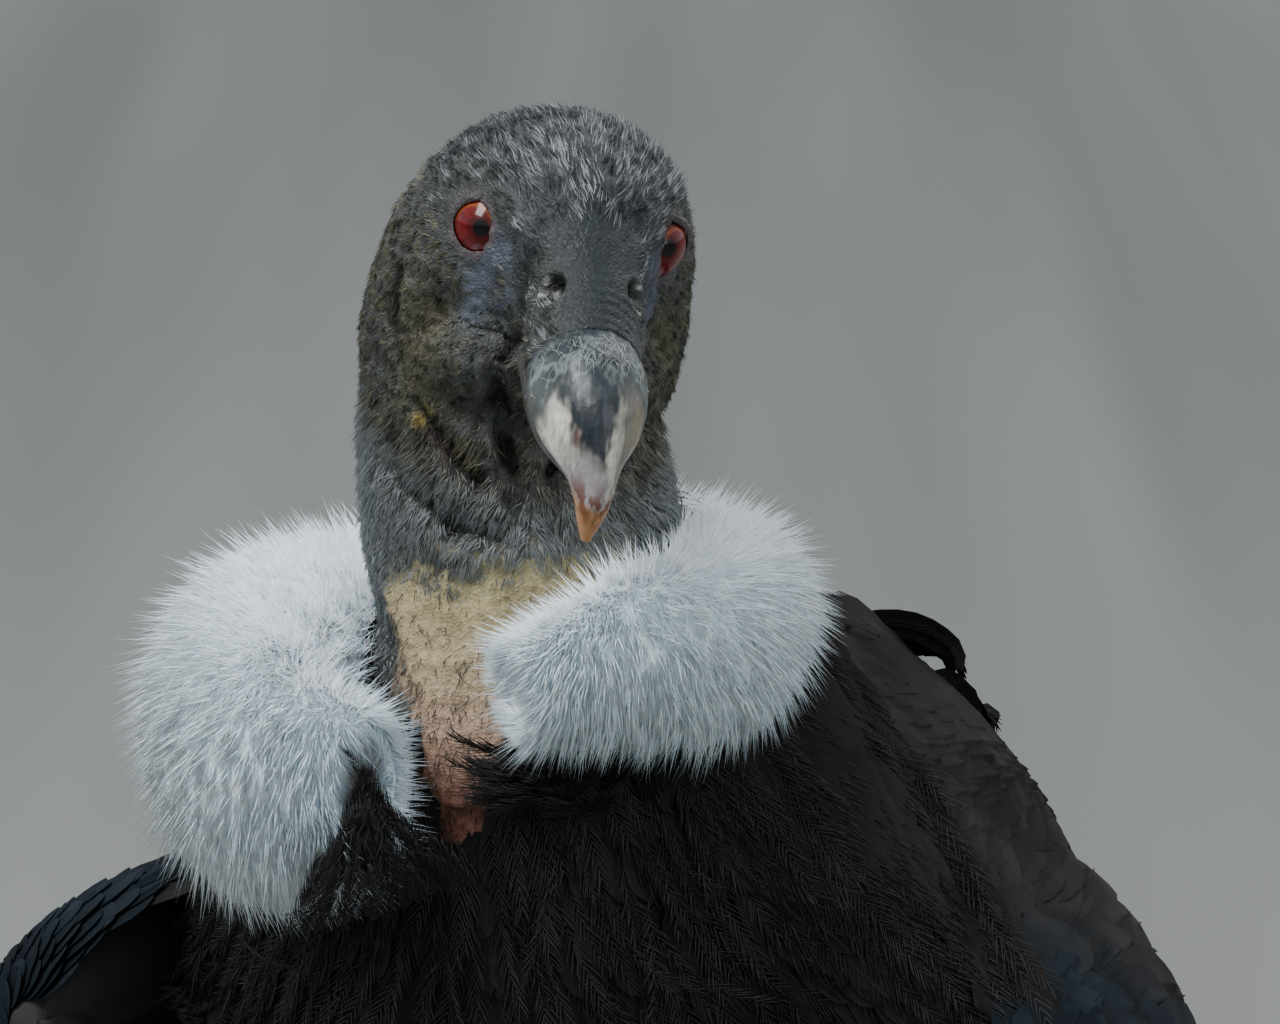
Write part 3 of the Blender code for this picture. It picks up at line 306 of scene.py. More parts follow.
def bell(x, centre, width):
    """1 at the centre, and down to 0.37 at the width from it."""
    return np.exp(-(((np.asarray(x, float) - centre) / width) ** 2))


def wrapped(angle):
    """Angles brought between minus and plus half a turn."""
    return (np.asarray(angle) + math.pi) % TURN - math.pi


def toward(colour, paint, share, strength=1.0):
    """Colours moved towards a paint, by a share per point and a strength for all of them."""
    return colour + (paint - colour) * np.asarray(share)[:, None] * strength


def columns(*values):
    """Values side by side, as the coordinates of a surface or of its map."""
    return np.stack(np.broadcast_arrays(*values), -1)


def nearest(places, points):
    """For each point, the number of the place that is nearest to it."""
    tree = kdtree.KDTree(len(places))
    for number, place in enumerate(places):
        tree.insert(place, number)
    tree.balance()
    return np.array([tree.find(point)[1] for point in points], int)


def spline(rows, t):
    """Catmull-Rom curves through the rows of an array, at places t counted in rows."""
    rows = np.asarray(rows, float)
    t = np.asarray(t, float)
    last = len(rows) - 1
    i = np.clip(t.astype(int), 0, last - 1)
    u = (t - i)[..., None]
    p1, p2 = rows[i], rows[i + 1]
    p0 = np.where((i > 0)[..., None], rows[np.maximum(i - 1, 0)], 2 * p1 - p2)
    p3 = np.where((i + 2 <= last)[..., None], rows[np.minimum(i + 2, last)], 2 * p2 - p1)
    b, c = p2 - p0, 2 * p0 - 5 * p1 + 4 * p2 - p3
    d = 3 * p1 - p0 - 3 * p2 + p3
    return 0.5 * (2 * p1 + b * u + c * u * u + d * u**3)


def head_axes():
    """The head's left, forward and up directions, after yaw, pitch and roll."""
    ahead = np.array([math.sin(HEAD_YAW), -math.cos(HEAD_YAW), 0.0])
    left = np.array([math.cos(HEAD_YAW), math.sin(HEAD_YAW), 0.0])
    forward = ahead * math.cos(HEAD_PITCH) - UPWARDS * math.sin(HEAD_PITCH)
    up = ahead * math.sin(HEAD_PITCH) + UPWARDS * math.cos(HEAD_PITCH)
    rolled_left = left * math.cos(HEAD_ROLL) - up * math.sin(HEAD_ROLL)
    rolled_up = up * math.cos(HEAD_ROLL) + left * math.sin(HEAD_ROLL)
    return rolled_left, forward, rolled_up


HEAD_LEFT, HEAD_FORWARD, HEAD_UP = head_axes()
HEAD_AXES = np.array([HEAD_LEFT, HEAD_FORWARD, HEAD_UP])
PACKED_EYES = [(np.array(low) + np.array(high)) / 2 for low, high in map(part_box, ("eye_left", "eye_right"))]
SHIFT = sum(PACKED_EYES) / 2 - HEAD_FORWARD * EYE_SET_BACK - EYE_MIDPOINT


def on_head(side, forward, up):
    """A point given in the head's own axes, in millimetres from the point between the irises."""
    return EYE_MIDPOINT + (np.array([side, forward, up]) * MM) @ HEAD_AXES


def in_head(points):
    """Points in the head's own axes, in millimetres: left, forward and up."""
    return (points - EYE_MIDPOINT) @ HEAD_AXES.T / MM


def head_rows(stations):
    """Loft rows for a table in the head's own plane."""
    return [
        np.concatenate([on_head(0, *top), on_head(0, *bottom), HEAD_LEFT, [half * MM, *shape]])
        for _, top, bottom, half, *shape in stations
    ]


def body_rows():
    """Loft rows for the torso's table."""
    return [
        np.concatenate([(0.0, *top), (0.0, *bottom), LEFTWARDS, [*shape, 0.0]])
        for _, top, bottom, *shape in BODY_STATIONS
    ]


FLESH = np.array(body_rows() + head_rows(HEAD_STATIONS))
JAW = np.array(head_rows(JAW_STATIONS))
UPPER_BILL = np.array(head_rows(UPPER_BILL_STATIONS))
LOWER_BILL = np.array(head_rows(LOWER_BILL_STATIONS))


def on_loft(rows, t, angle, lift=0.0):
    """Points on a loft at stations t and angles from the left upwards, lifted off its surface."""
    t, angle, lift = np.broadcast_arrays(t, angle, lift)
    row = spline(rows, t)
    top, bottom, side_axis = row[..., 0:3], row[..., 3:6], row[..., 6:9]
    half, share, square, narrow = (row[..., 9 + k] for k in range(4))
    height = np.linalg.norm(top - bottom, axis=-1)
    up = (top - bottom) / height[..., None]
    side = unit(side_axis - up * dot(side_axis, up))
    c, s = np.cos(angle), np.sin(angle)
    across = np.sign(c) * np.abs(c) ** (2 / square) * (half + lift) * (1 - narrow * s)
    reach = np.where(s > 0, height * (1 - share), height * share) + lift
    rise = np.sign(s) * np.abs(s) ** (2 / square) * reach
    centre = bottom + up * (height * share)[..., None]
    return centre + side * across[..., None] + up * rise[..., None]


def flesh(t, angle, lift=0.0):
    """Points on the flesh from tail to cere."""
    return on_loft(FLESH, t, angle, lift)


def flesh_map(t, angle):
    """Where stations and angles of the flesh lie on its map."""
    return columns(angle / TURN % 1.0, t / 20)


def wing_surface(side):
    """The outer face of a folded wing as a function of station, share from upper to lower edge and lift."""
    table = np.array([[*top, *bottom, wide, thick] for _, top, bottom, wide, thick in WING_STATIONS])
    flip = np.array([mirrored(side), 1.0, 1.0])
    out, rise = WRIST_HELD[side]

    def surface(t, v, lift=0.0):
        t, v, lift = np.broadcast_arrays(t, v, lift)
        row = spline(table, t)
        share = np.maximum(0.0, 1 - t / WRIST_FADE) ** 2
        held = columns(out * share, 0 * share, rise * share)
        top, bottom = (row[..., 0:3] + held) * flip, (row[..., 3:6] + held) * flip
        widest = (row[..., 6] + held[..., 0]) * flip[0]
        middle, half = (top + bottom) / 2, (top - bottom) / 2
        angle = (math.pi * (0.5 - v))[..., None]
        out_by = (widest - middle[..., 0])[..., None]
        place = middle + half * np.sin(angle) + LEFTWARDS * out_by * np.cos(angle)
        normal = unit(
            LEFTWARDS * flip[0] * np.cos(angle) * np.linalg.norm(half, axis=-1, keepdims=True)
            + unit(half) * np.sin(angle) * np.abs(out_by)
        )
        return place + normal * lift[..., None]

    return surface


def arm_sink(t):
    """How far the arm's surface lies under the wing's outer form at station t."""
    return np.interp(t, *ARM_SINK) * MM


def tail_surface(share, x, lift=0.0):
    """Points on the tail: the share of its length, how far to the left and the lift over its middle."""
    share, x, lift = np.broadcast_arrays(share, x, lift)
    along = np.array([0.0, math.cos(TAIL_SLOPE), -math.sin(TAIL_SLOPE)])
    over = np.array([0.0, math.sin(TAIL_SLOPE), math.cos(TAIL_SLOPE)])
    rise = lift - TAIL_CAMBER * (x / TAIL_HALF) ** 2
    return (
        TAIL_ROOT
        + along * (share * TAIL_LENGTH)[..., None]
        + LEFTWARDS * x[..., None]
        + over * rise[..., None]
    )


def thigh_surface(side):
    """A feathered leg as a function of station from the hip down, angle and lift."""
    sign = mirrored(side)
    table = np.array([[p[0] * sign, p[1], p[2], wide, long] for _, p, wide, long in THIGH_STATIONS])

    def surface(t, angle, lift=0.0):
        t, angle, lift = np.broadcast_arrays(t, angle, lift)
        row = spline(table, t)
        out = columns(np.cos(angle) * (row[..., 3] + lift), np.sin(angle) * (row[..., 4] + lift), 0 * angle)
        return row[..., 0:3] + out

    return surface


def ruff_surface(side):
    """Half of the collar of down as a function of station, angle from outwards upwards, and reach."""
    sign = mirrored(side)
    table = np.array([[p[0] * sign, p[1], p[2], thick, tall] for _, p, thick, tall in RUFF_STATIONS[side]])
    last = len(table) - 1.0

    def axes(t):
        row = spline(table, np.clip(t, 0.0, last))
        low, high = np.clip(t - 0.1, 0.0, last), np.clip(t + 0.1, 0.0, last)
        ahead = unit(spline(table, high)[..., :3] - spline(table, low)[..., :3])
        nape = smooth(0.25, 0.0, t)[..., None]
        ahead = unit(ahead * (1 - nape) + LEFTWARDS * sign * nape)
        out = unit(np.cross(UPWARDS, ahead)) * sign
        return row, ahead, out, unit(np.cross(ahead, out)) * sign

    def surface(t, angle, reach=1.0):
        t, angle, reach = np.broadcast_arrays(t, angle, reach)
        row, ahead, out, up = axes(t)
        beyond = np.maximum(t - last, 0.0)
        cap = np.clip(1 - beyond, 0.0, 1.0) ** 0.7
        scaled = (reach * cap)[..., None]
        arm = out * (np.cos(angle) * row[..., 3])[..., None] + up * (np.sin(angle) * row[..., 4])[..., None]
        return row[..., :3] + ahead * (beyond * 0.022)[..., None] + arm * scaled

    return surface


def grid_mesh(surface, ts, count):
    """Points and faces of a closed loft of a surface over stations and a full turn."""
    angles = np.arange(count) * TURN / count
    points = surface(np.asarray(ts)[:, None], angles[None, :]).reshape(-1, 3)
    k = np.arange(count)
    n = (k + 1) % count
    faces = []
    for a in np.arange(len(ts) - 1) * count:
        b = a + count
        faces.append(columns(a + k, a + n, b + n))
        faces.append(columns(a + k, b + n, b + k))
    start, end = len(points), len(points) + 1
    points = np.concatenate([points, [points[:count].mean(0)], [points[-count:].mean(0)]])
    b = (len(ts) - 1) * count
    faces.append(columns(n, k, start))
    faces.append(columns(b + k, b + n, end))
    return points, outward(points, np.concatenate(faces))


def outward(points, tris):
    """The triangles turned so that the closed surface's volume is positive."""
    a, b, c = (points[tris[:, k]] for k in range(3))
    volume = (a * np.cross(b, c)).sum()
    return tris if volume > 0 else tris[:, ::-1]


def join(*parts):
    """Several (points, triangles) as one."""
    offset = 0
    points, tris = [], []
    for p, f in parts:
        points.append(p)
        tris.append(f + offset)
        offset += len(p)
    return np.concatenate(points), np.concatenate(tris)


def tube_mesh(centres, radii, count=16, flatten=1.0, upright=(0.0, 0.0, 1.0)):
    """A closed tube through the centres with rounded ends."""
    ahead = unit(np.gradient(centres, axis=0))
    side = unit(np.cross(ahead, upright))
    up = np.cross(side, ahead)
    angles = (np.arange(count) * TURN / count)[None, :, None]
    out = np.cos(angles) * side[:, None] + flatten * np.sin(angles) * up[:, None]
    ring = centres[:, None] + np.asarray(radii)[:, None, None] * out
    return grid_mesh(lambda t, angle: ring, np.arange(len(centres)), count)


def ball_mesh(centre, radii, axes, segments=24, rings=16):
    """A closed ellipsoid with its poles on the third of the axes."""
    polar = np.linspace(0.04, math.pi - 0.04, rings)

    def surface(t, angle):
        theta = polar[np.asarray(t, int)]
        local = columns(
            np.sin(theta) * np.cos(angle) * radii[0],
            np.sin(theta) * np.sin(angle) * radii[1],
            np.cos(theta) * radii[2],
        )
        return centre + local @ axes

    return grid_mesh(surface, np.arange(rings), segments)


def add_mesh(name, points, tris, uv=None, tint=None, lie=None):
    """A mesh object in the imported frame. Each of uv, tint and lie is given per point."""
    mesh = bpy.data.meshes.new(name)
    mesh.vertices.add(len(points))
    mesh.vertices.foreach_set("co", (points + SHIFT).astype(np.float32).ravel())
    mesh.loops.add(tris.size)
    mesh.loops.foreach_set("vertex_index", tris.astype(np.int32).ravel())
    mesh.polygons.add(len(tris))
    mesh.polygons.foreach_set("loop_start", np.arange(0, tris.size, 3, dtype=np.int32))
    mesh.polygons.foreach_set("use_smooth", np.ones(len(tris), bool))
    for layer, values in (("OFBake", uv), ("lie", lie)):
        if values is not None:
            mesh.uv_layers.new(name=layer).uv.foreach_set("vector", values[tris].astype(np.float32).ravel())
    if tint is not None:
        colour = mesh.color_attributes.new("tint", "FLOAT_COLOR", "POINT")
        rgba = np.ones((len(points), 4), np.float32)
        rgba[:, :3] = tint
        colour.data.foreach_set("color", rgba.ravel())
    mesh.update(calc_edges=True)
    obj = bpy.data.objects.new(name, mesh)
    bpy.context.scene.collection.objects.link(obj)
    return obj


def arrays_of(obj):
    """Points in the bird's frame and triangles of an object's evaluated mesh."""
    bpy.context.view_layer.update()
    evaluated = obj.evaluated_get(bpy.context.evaluated_depsgraph_get())
    mesh = evaluated.to_mesh()
    mesh.calc_loop_triangles()
    points = np.empty(len(mesh.vertices) * 3, np.float32)
    mesh.vertices.foreach_get("co", points)
    tris = np.empty(len(mesh.loop_triangles) * 3, np.int32)
    mesh.loop_triangles.foreach_get("vertices", tris)
    evaluated.to_mesh_clear()
    return points.reshape(-1, 3).astype(float) - SHIFT, tris.reshape(-1, 3)


def remeshed(points, tris, voxel, passes):
    """One even closed surface round overlapping closed ones, smoothed."""
    obj = add_mesh("remesh", points, tris)
    modifier = obj.modifiers.new("remesh", "REMESH")
    modifier.mode = "VOXEL"
    modifier.voxel_size = voxel
    points, tris = arrays_of(obj)
    bpy.data.objects.remove(obj)
    return relaxed(points, tris, passes), tris


def relaxed(points, tris, passes):
    """Points drawn halfway towards their neighbours' middle, a few times."""
    edges = np.concatenate([tris[:, [0, 1]], tris[:, [1, 2]], tris[:, [2, 0]]])
    pairs = np.unique(np.sort(edges, 1), axis=0)
    degree = np.bincount(pairs.ravel(), minlength=len(points)).astype(float)[:, None]
    for _ in range(passes):
        total = np.zeros_like(points)
        for k in range(3):
            total[:, k] += np.bincount(pairs[:, 0], points[pairs[:, 1], k], len(points))
            total[:, k] += np.bincount(pairs[:, 1], points[pairs[:, 0], k], len(points))
        points = points + (total / np.maximum(degree, 1) - points) * 0.5
    return points


def point_normals(points, tris):
    """Area-weighted normals at the points."""
    a, b, c = (points[tris[:, k]] for k in range(3))
    face = np.cross(b - a, c - a)
    total = np.zeros_like(points)
    for k in range(3):
        for axis in range(3):
            total[:, axis] += np.bincount(tris[:, k], face[:, axis], len(points))
    return unit(total)


def waves(points, scale, seed, octaves=3):
    """Smooth noise at points, between about -1 and 1, from seeded sine waves."""
    random = np.random.default_rng(seed)
    total = np.zeros(len(points))
    weight = 1.0
    for octave in range(octaves):
        for _ in range(5):
            direction = unit(random.normal(size=3)) * TURN / (scale / 1.9**octave)
            total += weight * np.sin(points @ direction + random.uniform(0, 6.28)) / 5
        weight *= 0.6
    return total


def node(made, kind, inputs=None, **settings):
    """A shader node in a material, with its inputs linked or set."""
    tree = made.node_tree
    new = tree.nodes.new(kind)
    for key, value in settings.items():
        setattr(new, key, value)
    for key, value in (inputs or {}).items():
        if isinstance(value, bpy.types.NodeSocket):
            tree.links.new(value, new.inputs[key])
        else:
            new.inputs[key].default_value = value
    return new


def material(name, **values):
    """A Principled material with some of its sockets set, and its shader."""
    made = bpy.data.materials.new(name)
    made.use_nodes = True
    shader = made.node_tree.nodes["Principled BSDF"]
    for key, value in values.items():
        shader.inputs[key.replace("_", " ")].default_value = value
    return made, shader


def wired(made, shader, name, output):
    """Links an output to one of the shader's inputs."""
    made.node_tree.links.new(output, shader.inputs[name])


def math_node(made, operation, first, second=None):
    """The output of one step of arithmetic."""
    inputs = {0: first}
    if second is not None:
        inputs[1] = second
    return node(made, "ShaderNodeMath", inputs, operation=operation).outputs[0]


def multiplied(made, first, second):
    """The output of a product of two colours."""
    new = node(made, "ShaderNodeMix", None, data_type="RGBA", blend_type="MULTIPLY")
    new.inputs[0].default_value = 1.0
    made.node_tree.links.new(first, new.inputs[6])
    made.node_tree.links.new(second, new.inputs[7])
    return new.outputs[2]


def ramp(made, factor, stops):
    """The output of a colour ramp with the given (place, grey or colour) stops."""
    new = node(made, "ShaderNodeValToRGB", {0: factor})
    elements = new.color_ramp.elements
    while len(elements) < len(stops):
        elements.new(0.5)
    for element, (place, value) in zip(elements, stops):
        element.position = place
        element.color = (*value, 1.0) if isinstance(value, tuple) else (value, value, value, 1.0)
    return new.outputs[0]


def object_place(made):
    """The output of places in object space."""
    return node(made, "ShaderNodeTexCoord").outputs["Object"]


def noise(made, scale, detail=4.0):
    """The value of a noise texture in object space."""
    inputs = {"Vector": object_place(made), "Scale": scale, "Detail": detail}
    return node(made, "ShaderNodeTexNoise", inputs).outputs["Fac"]


def tinted(made, low, high, scale):
    """The point colours, made darker and lighter by a noise between two factors."""
    tint = node(made, "ShaderNodeVertexColor", None, layer_name="tint").outputs["Color"]
    return multiplied(made, tint, ramp(made, noise(made, scale, 5.0), [(0.3, low), (0.7, high)]))


def bumped(made, shader, height, strength, distance):
    """Sends a height to the shader's normal, through any bump that is there already."""
    inputs = {"Height": height, "Strength": strength, "Distance": distance}
    if shader.inputs["Normal"].is_linked:
        inputs["Normal"] = shader.inputs["Normal"].links[0].from_socket
    wired(made, shader, "Normal", node(made, "ShaderNodeBump", inputs).outputs[0])


def skin_material():
    """Bare, finely wrinkled and pored skin, dull on head and neck."""
    made, shader = material(
        "bird_skin",
        Roughness=0.52,
        Specular_IOR_Level=0.26,
        Subsurface_Weight=0.12,
        Subsurface_Scale=0.0015,
        Subsurface_Radius=(1.0, 0.55, 0.4),
    )
    wired(made, shader, "Base Color", tinted(made, 0.74, 1.24, 420.0))
    pores = {"Vector": object_place(made), "Scale": 780.0}
    cells = node(made, "ShaderNodeTexVoronoi", pores, feature="DISTANCE_TO_EDGE")
    bumped(made, shader, cells.outputs["Distance"], 0.45, 0.0012)
    bumped(made, shader, noise(made, 330.0, 6.0), 0.6, 0.0016)
    wired(made, shader, "Roughness", ramp(made, noise(made, 260.0), [(0.3, 0.38), (0.75, 0.66)]))
    return made


def hair_material(name, rough, subsurface=0.0, gloss=0.3):
    """Bristles or down, in their own point colours."""
    made, shader = material(
        name,
        Roughness=rough,
        Specular_IOR_Level=gloss,
        Subsurface_Weight=subsurface,
        Subsurface_Scale=0.004,
    )
    wired(made, shader, "Base Color", tinted(made, 0.82, 1.15, 240.0))
    bumped(made, shader, noise(made, 2600.0, 3.0), 0.3, 0.0004)
    return made


def feather_material(name, rough, pitch=0.0011, gloss=0.35):
    """A vane: barbs run forwards from its shaft, in the colours of its points."""
    made, shader = material(name, Roughness=rough, Specular_IOR_Level=gloss)
    lie = node(made, "ShaderNodeUVMap", None, uv_map="lie").outputs[0]
    beside, along = node(made, "ShaderNodeSeparateXYZ", {0: lie}).outputs[:2]
    slant = math_node(made, "MULTIPLY", math_node(made, "ABSOLUTE", beside), 0.9)
    wander = math_node(made, "MULTIPLY", noise(made, 90.0, 3.0), pitch * 5)
    phase = math_node(made, "ADD", math_node(made, "SUBTRACT", along, slant), wander)
    stripe = math_node(made, "SINE", math_node(made, "MULTIPLY", phase, TURN / pitch))
    height = math_node(made, "MULTIPLY_ADD", stripe, 0.5)
    height.node.inputs[2].default_value = 0.5
    bumped(made, shader, height, 0.14, 0.0003)
    bumped(made, shader, noise(made, 60.0, 3.0), 0.18, 0.003)
    # The grooves between barbs are painted darker and their crests lighter: painted shade and highlight that
    # follow the bump
    shade = ramp(made, height, [(0.0, 0.88), (1.0, 1.10)])
    wired(made, shader, "Base Color", multiplied(made, tinted(made, 0.7, 1.3, 35.0), shade))
    return made


def horn_material():
    """Dull polished horn with fine growth lines along the bill, scratches and flaking spots."""
    made, shader = material(
        "bill_horn",
        Roughness=0.42,
        Specular_IOR_Level=0.30,
        Coat_Weight=0.12,
        Coat_Roughness=0.14,
        Subsurface_Weight=0.12,
        Subsurface_Scale=0.002,
    )
    wired(made, shader, "Base Color", tinted(made, 0.82, 1.16, 160.0))
    bumped(made, shader, noise(made, 240.0, 6.0), 0.35, 0.0012)
    bumped(made, shader, noise(made, 70.0, 3.0), 0.3, 0.003)
    wired(made, shader, "Roughness", ramp(made, noise(made, 190.0), [(0.35, 0.30), (0.75, 0.55)]))
    return made


def eye_material():
    """A wet eye in the colours of its points."""
    made, shader = material(
        "eye", Roughness=0.25, Specular_IOR_Level=0.12, Coat_Weight=0.38, Coat_Roughness=0.015
    )
    wired(made, shader, "Base Color", tinted(made, 0.75, 1.3, 900.0))
    return made


def claw_material():
    """Dark horn with growth lines."""
    made, shader = material("claw", Roughness=0.36, Coat_Weight=0.1)
    wired(made, shader, "Base Color", tinted(made, 0.6, 1.5, 300.0))
    bumped(made, shader, noise(made, 420.0, 5.0), 0.4, 0.001)
    return made


def piece(name, points, tris, look, slot, nodes=(), uv=None, tint=None, lie=None):
    """A piece of the bird with its material and the nodes that it stands for. slot is not used."""
    made = add_mesh(name, points, tris, uv, tint, lie)
    made.data.materials.append(look)
    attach(made, "root")
    if nodes:
        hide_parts(*nodes)


# How large one feather is on the map, and outlines of feathers along their length and across them
PATCH = 0.003
BLUNT = ([0.0, 0.12, 0.35, 0.6, 0.8, 0.92, 1.0], [0.30, 0.62, 0.92, 1.0, 0.88, 0.58, 0.10])
FINE = (np.linspace(0, 1, 15).tolist(), (0.3 + 0.7 * np.sin(np.linspace(0.25, 2.85, 15))).tolist())
POINTED = ([0.0, 0.12, 0.35, 0.6, 0.8, 0.92, 1.0], [0.35, 0.72, 0.95, 1.0, 0.80, 0.46, 0.05])
LONG = ([0.0, 0.06, 0.2, 0.45, 0.7, 0.86, 0.95, 1.0], [0.25, 0.6, 0.9, 1.0, 0.98, 0.82, 0.5, 0.08])
PLAIN_ACROSS = ([-1.0, -0.5, 0.0, 0.5, 1.0], [0.0, 0.0, 0.0, 0.0, 0.0])
SHAFT_ACROSS = ([-1.0, -0.6, -0.07, 0.0, 0.07, 0.6, 1.0], [0.0, 0.0, 0.0, 0.0009, 0.0, 0.0, 0.0])


def laid_lines(surface, root, tip, start, end, shares):
    """Lines laid on a surface from root to tip, with their normals, directions and sides."""
    rise = start[:, None] + (end - start)[:, None] * shares
    at = root[:, None] + (tip - root)[:, None] * shares[None, :, None]
    centre = surface(at[..., 0], at[..., 1], rise)
    normal = unit(surface(at[..., 0], at[..., 1], rise + 0.001) - centre)
    ahead = unit(np.gradient(centre, axis=1))
    return centre, normal, ahead, unit(np.cross(normal, ahead))


def feathers(surface, root, tip, half, lift, patch, outline=BLUNT, across=PLAIN_ACROSS, camber=0.0):
    """Vanes laid on a surface, from root to tip in its own two coordinates.

    lift is how far they lie off the surface at root and tip, and patch their root's place on the map.
    """
    u, wide = np.array(outline)
    x, ridge = np.array(across)
    count = len(root)
    start, end = np.broadcast_to(lift[0], count), np.broadcast_to(lift[1], count)
    centre, normal, _, side = laid_lines(surface, root, tip, start, end, u)
    width = np.reshape(half, (-1, 1)) * wide
    drop = ridge[None, None, :] - camber * width[..., None] * x**2
    points = centre[:, :, None] + side[:, :, None] * (width[..., None] * x)[..., None]
    points = points + normal[:, :, None] * drop[..., None]
    length = np.linalg.norm(np.diff(centre, axis=1), axis=-1)
    along = np.concatenate([np.zeros((count, 1)), np.cumsum(length, 1)], 1)
    rows, cols = len(u), len(x)
    k = (np.arange(rows - 1)[:, None] * cols + np.arange(cols - 1)).ravel()
    one = np.concatenate([columns(k, k + 1, k + cols + 1), columns(k, k + cols + 1, k + cols)])
    tris = one[None] + (np.arange(count) * rows * cols)[:, None, None]
    uv = patch[:, None, None, :] + (columns(x[None, :] * 0.5, u[:, None] - 0.5) * PATCH)[None]
    return {
        "points": points.reshape(-1, 3),
        "tris": tris.reshape(-1, 3),
        "uv": uv.reshape(-1, 2),
        "lie": columns(width[..., None] * x, along[..., None]).reshape(-1, 2),
        "share": np.tile(np.repeat(u, cols), count),
        "edge": np.tile(np.abs(x), count * rows),
        "owner": np.repeat(np.arange(count), rows * cols),
    }


def spikes(roots, ahead, bent, length, thick, patch, steps=2, flat=1.0):
    """Tapered three-sided bristles or fibres, which turn from one direction to another over their length."""
    count = len(roots)
    u = np.linspace(0.0, 1.0, steps + 1)
    length = np.broadcast_to(length, count)[:, None, None]
    thick = np.broadcast_to(thick, count)
    turn = bent - ahead
    centre = roots[:, None] + length * (ahead[:, None] * u[:, None] + turn[:, None] * (u * u / 2)[:, None])
    along = unit(ahead[:, None] + turn[:, None] * u[:, None])
    other = unit(np.cross(ahead, bent) + np.cross(ahead, (0.31, 0.47, 0.83)) * 1e-3)
    side = unit(other[:, None] - along * dot(along, other[:, None]))
    over = np.cross(along, side)
    angles = (np.array([0.0, 2.0944, 4.1888]) + math.pi / 2)[:, None]
    reach = (thick[:, None] * (1 - u) ** 0.6)[:, :-1, None, None]
    out = side[:, :-1, None] * np.cos(angles) + flat * over[:, :-1, None] * np.sin(angles)
    ring = centre[:, :-1, None] + reach * out
    points = np.concatenate([ring.reshape(count, -1, 3), centre[:, -1:]], 1)
    one = []
    for j in range(0, 3 * steps, 3):
        for k, n in ((j, j + 1), (j + 1, j + 2), (j + 2, j)):
            last = j == 3 * steps - 3
            one += [(k, n, 3 * steps)] if last else [(k, n, 3 + n), (k, 3 + n, 3 + k)]
    per = 3 * steps + 1
    tris = np.array(one)[None] + (np.arange(count) * per)[:, None, None]
    share = np.append(np.repeat(u[:-1], 3), 1.0)
    beside = np.append(np.tile([-0.5, 0.0, 0.5], steps), 0.0)
    uv = patch[:, None] + np.stack([beside, share - 0.5], -1)[None] * PATCH
    return {
        "points": points.reshape(-1, 3),
        "tris": tris.reshape(-1, 3),
        "uv": uv.reshape(-1, 2),
        "share": np.tile(share, count),
        "owner": np.repeat(np.arange(count), per),
    }


def merged(batches):
    """Several batches of feathers or fibres as one."""
    points, owners = 0, 0
    total = {key: [] for key in batches[0]}
    for batch in batches:
        for key, values in batch.items():
            total[key].append(values + {"tris": points, "owner": owners}.get(key, 0))
        points += len(batch["points"])
        owners += batch["owner"].max() + 1
    return {key: np.concatenate(values) for key, values in total.items()}


def shaded(batch, root_colour, tip_colour):
    """Adds point colours that run from each one's root colour to its tip colour."""
    owner = batch["owner"]
    ends = (np.broadcast_to(colour, (owner.max() + 1, 3)) for colour in (root_colour, tip_colour))
    batch["tint"] = toward(*(colour[owner] for colour in ends), batch["share"])
    return batch


def coat(name, batch, look, slot):
    """Coat pieces from a batch, in as many pieces as keep each under the limit of triangles."""
    total = batch["owner"].max() + 1
    tris_each, points_each = len(batch["tris"]) // total, len(batch["points"]) // total
    if len(batch["tris"]) <= COAT_LIMIT:
        parts = [(name, slice(None), slice(None), 0)]
    else:
        step = COAT_LIMIT // tris_each
        parts = [
            (
                f"{name}_{number}",
                slice(first * points_each, (first + step) * points_each),
                slice(first * tris_each, (first + step) * tris_each),
                first * points_each,
            )
            for number, first in enumerate(range(0, total, step), 1)
        ]
    for part, points, tris, passed in parts:
        layers = [batch[key][points] if key in batch else None for key in ("uv", "tint", "lie")]
        piece(part, batch["points"][points], batch["tris"][tris] - passed, look, slot, (), *layers)


def jittered(random, rows, cols, amount=0.35):
    """Places in a unit square in staggered rows, each moved a little."""
    i, j = np.meshgrid(np.arange(rows), np.arange(cols), indexing="ij")
    a = (i + 0.5 + random.uniform(-amount, amount, i.shape)) / rows
    b = (j + 0.25 + 0.5 * (i % 2) + random.uniform(-amount, amount, i.shape)) / cols
    return a.ravel(), b.ravel()


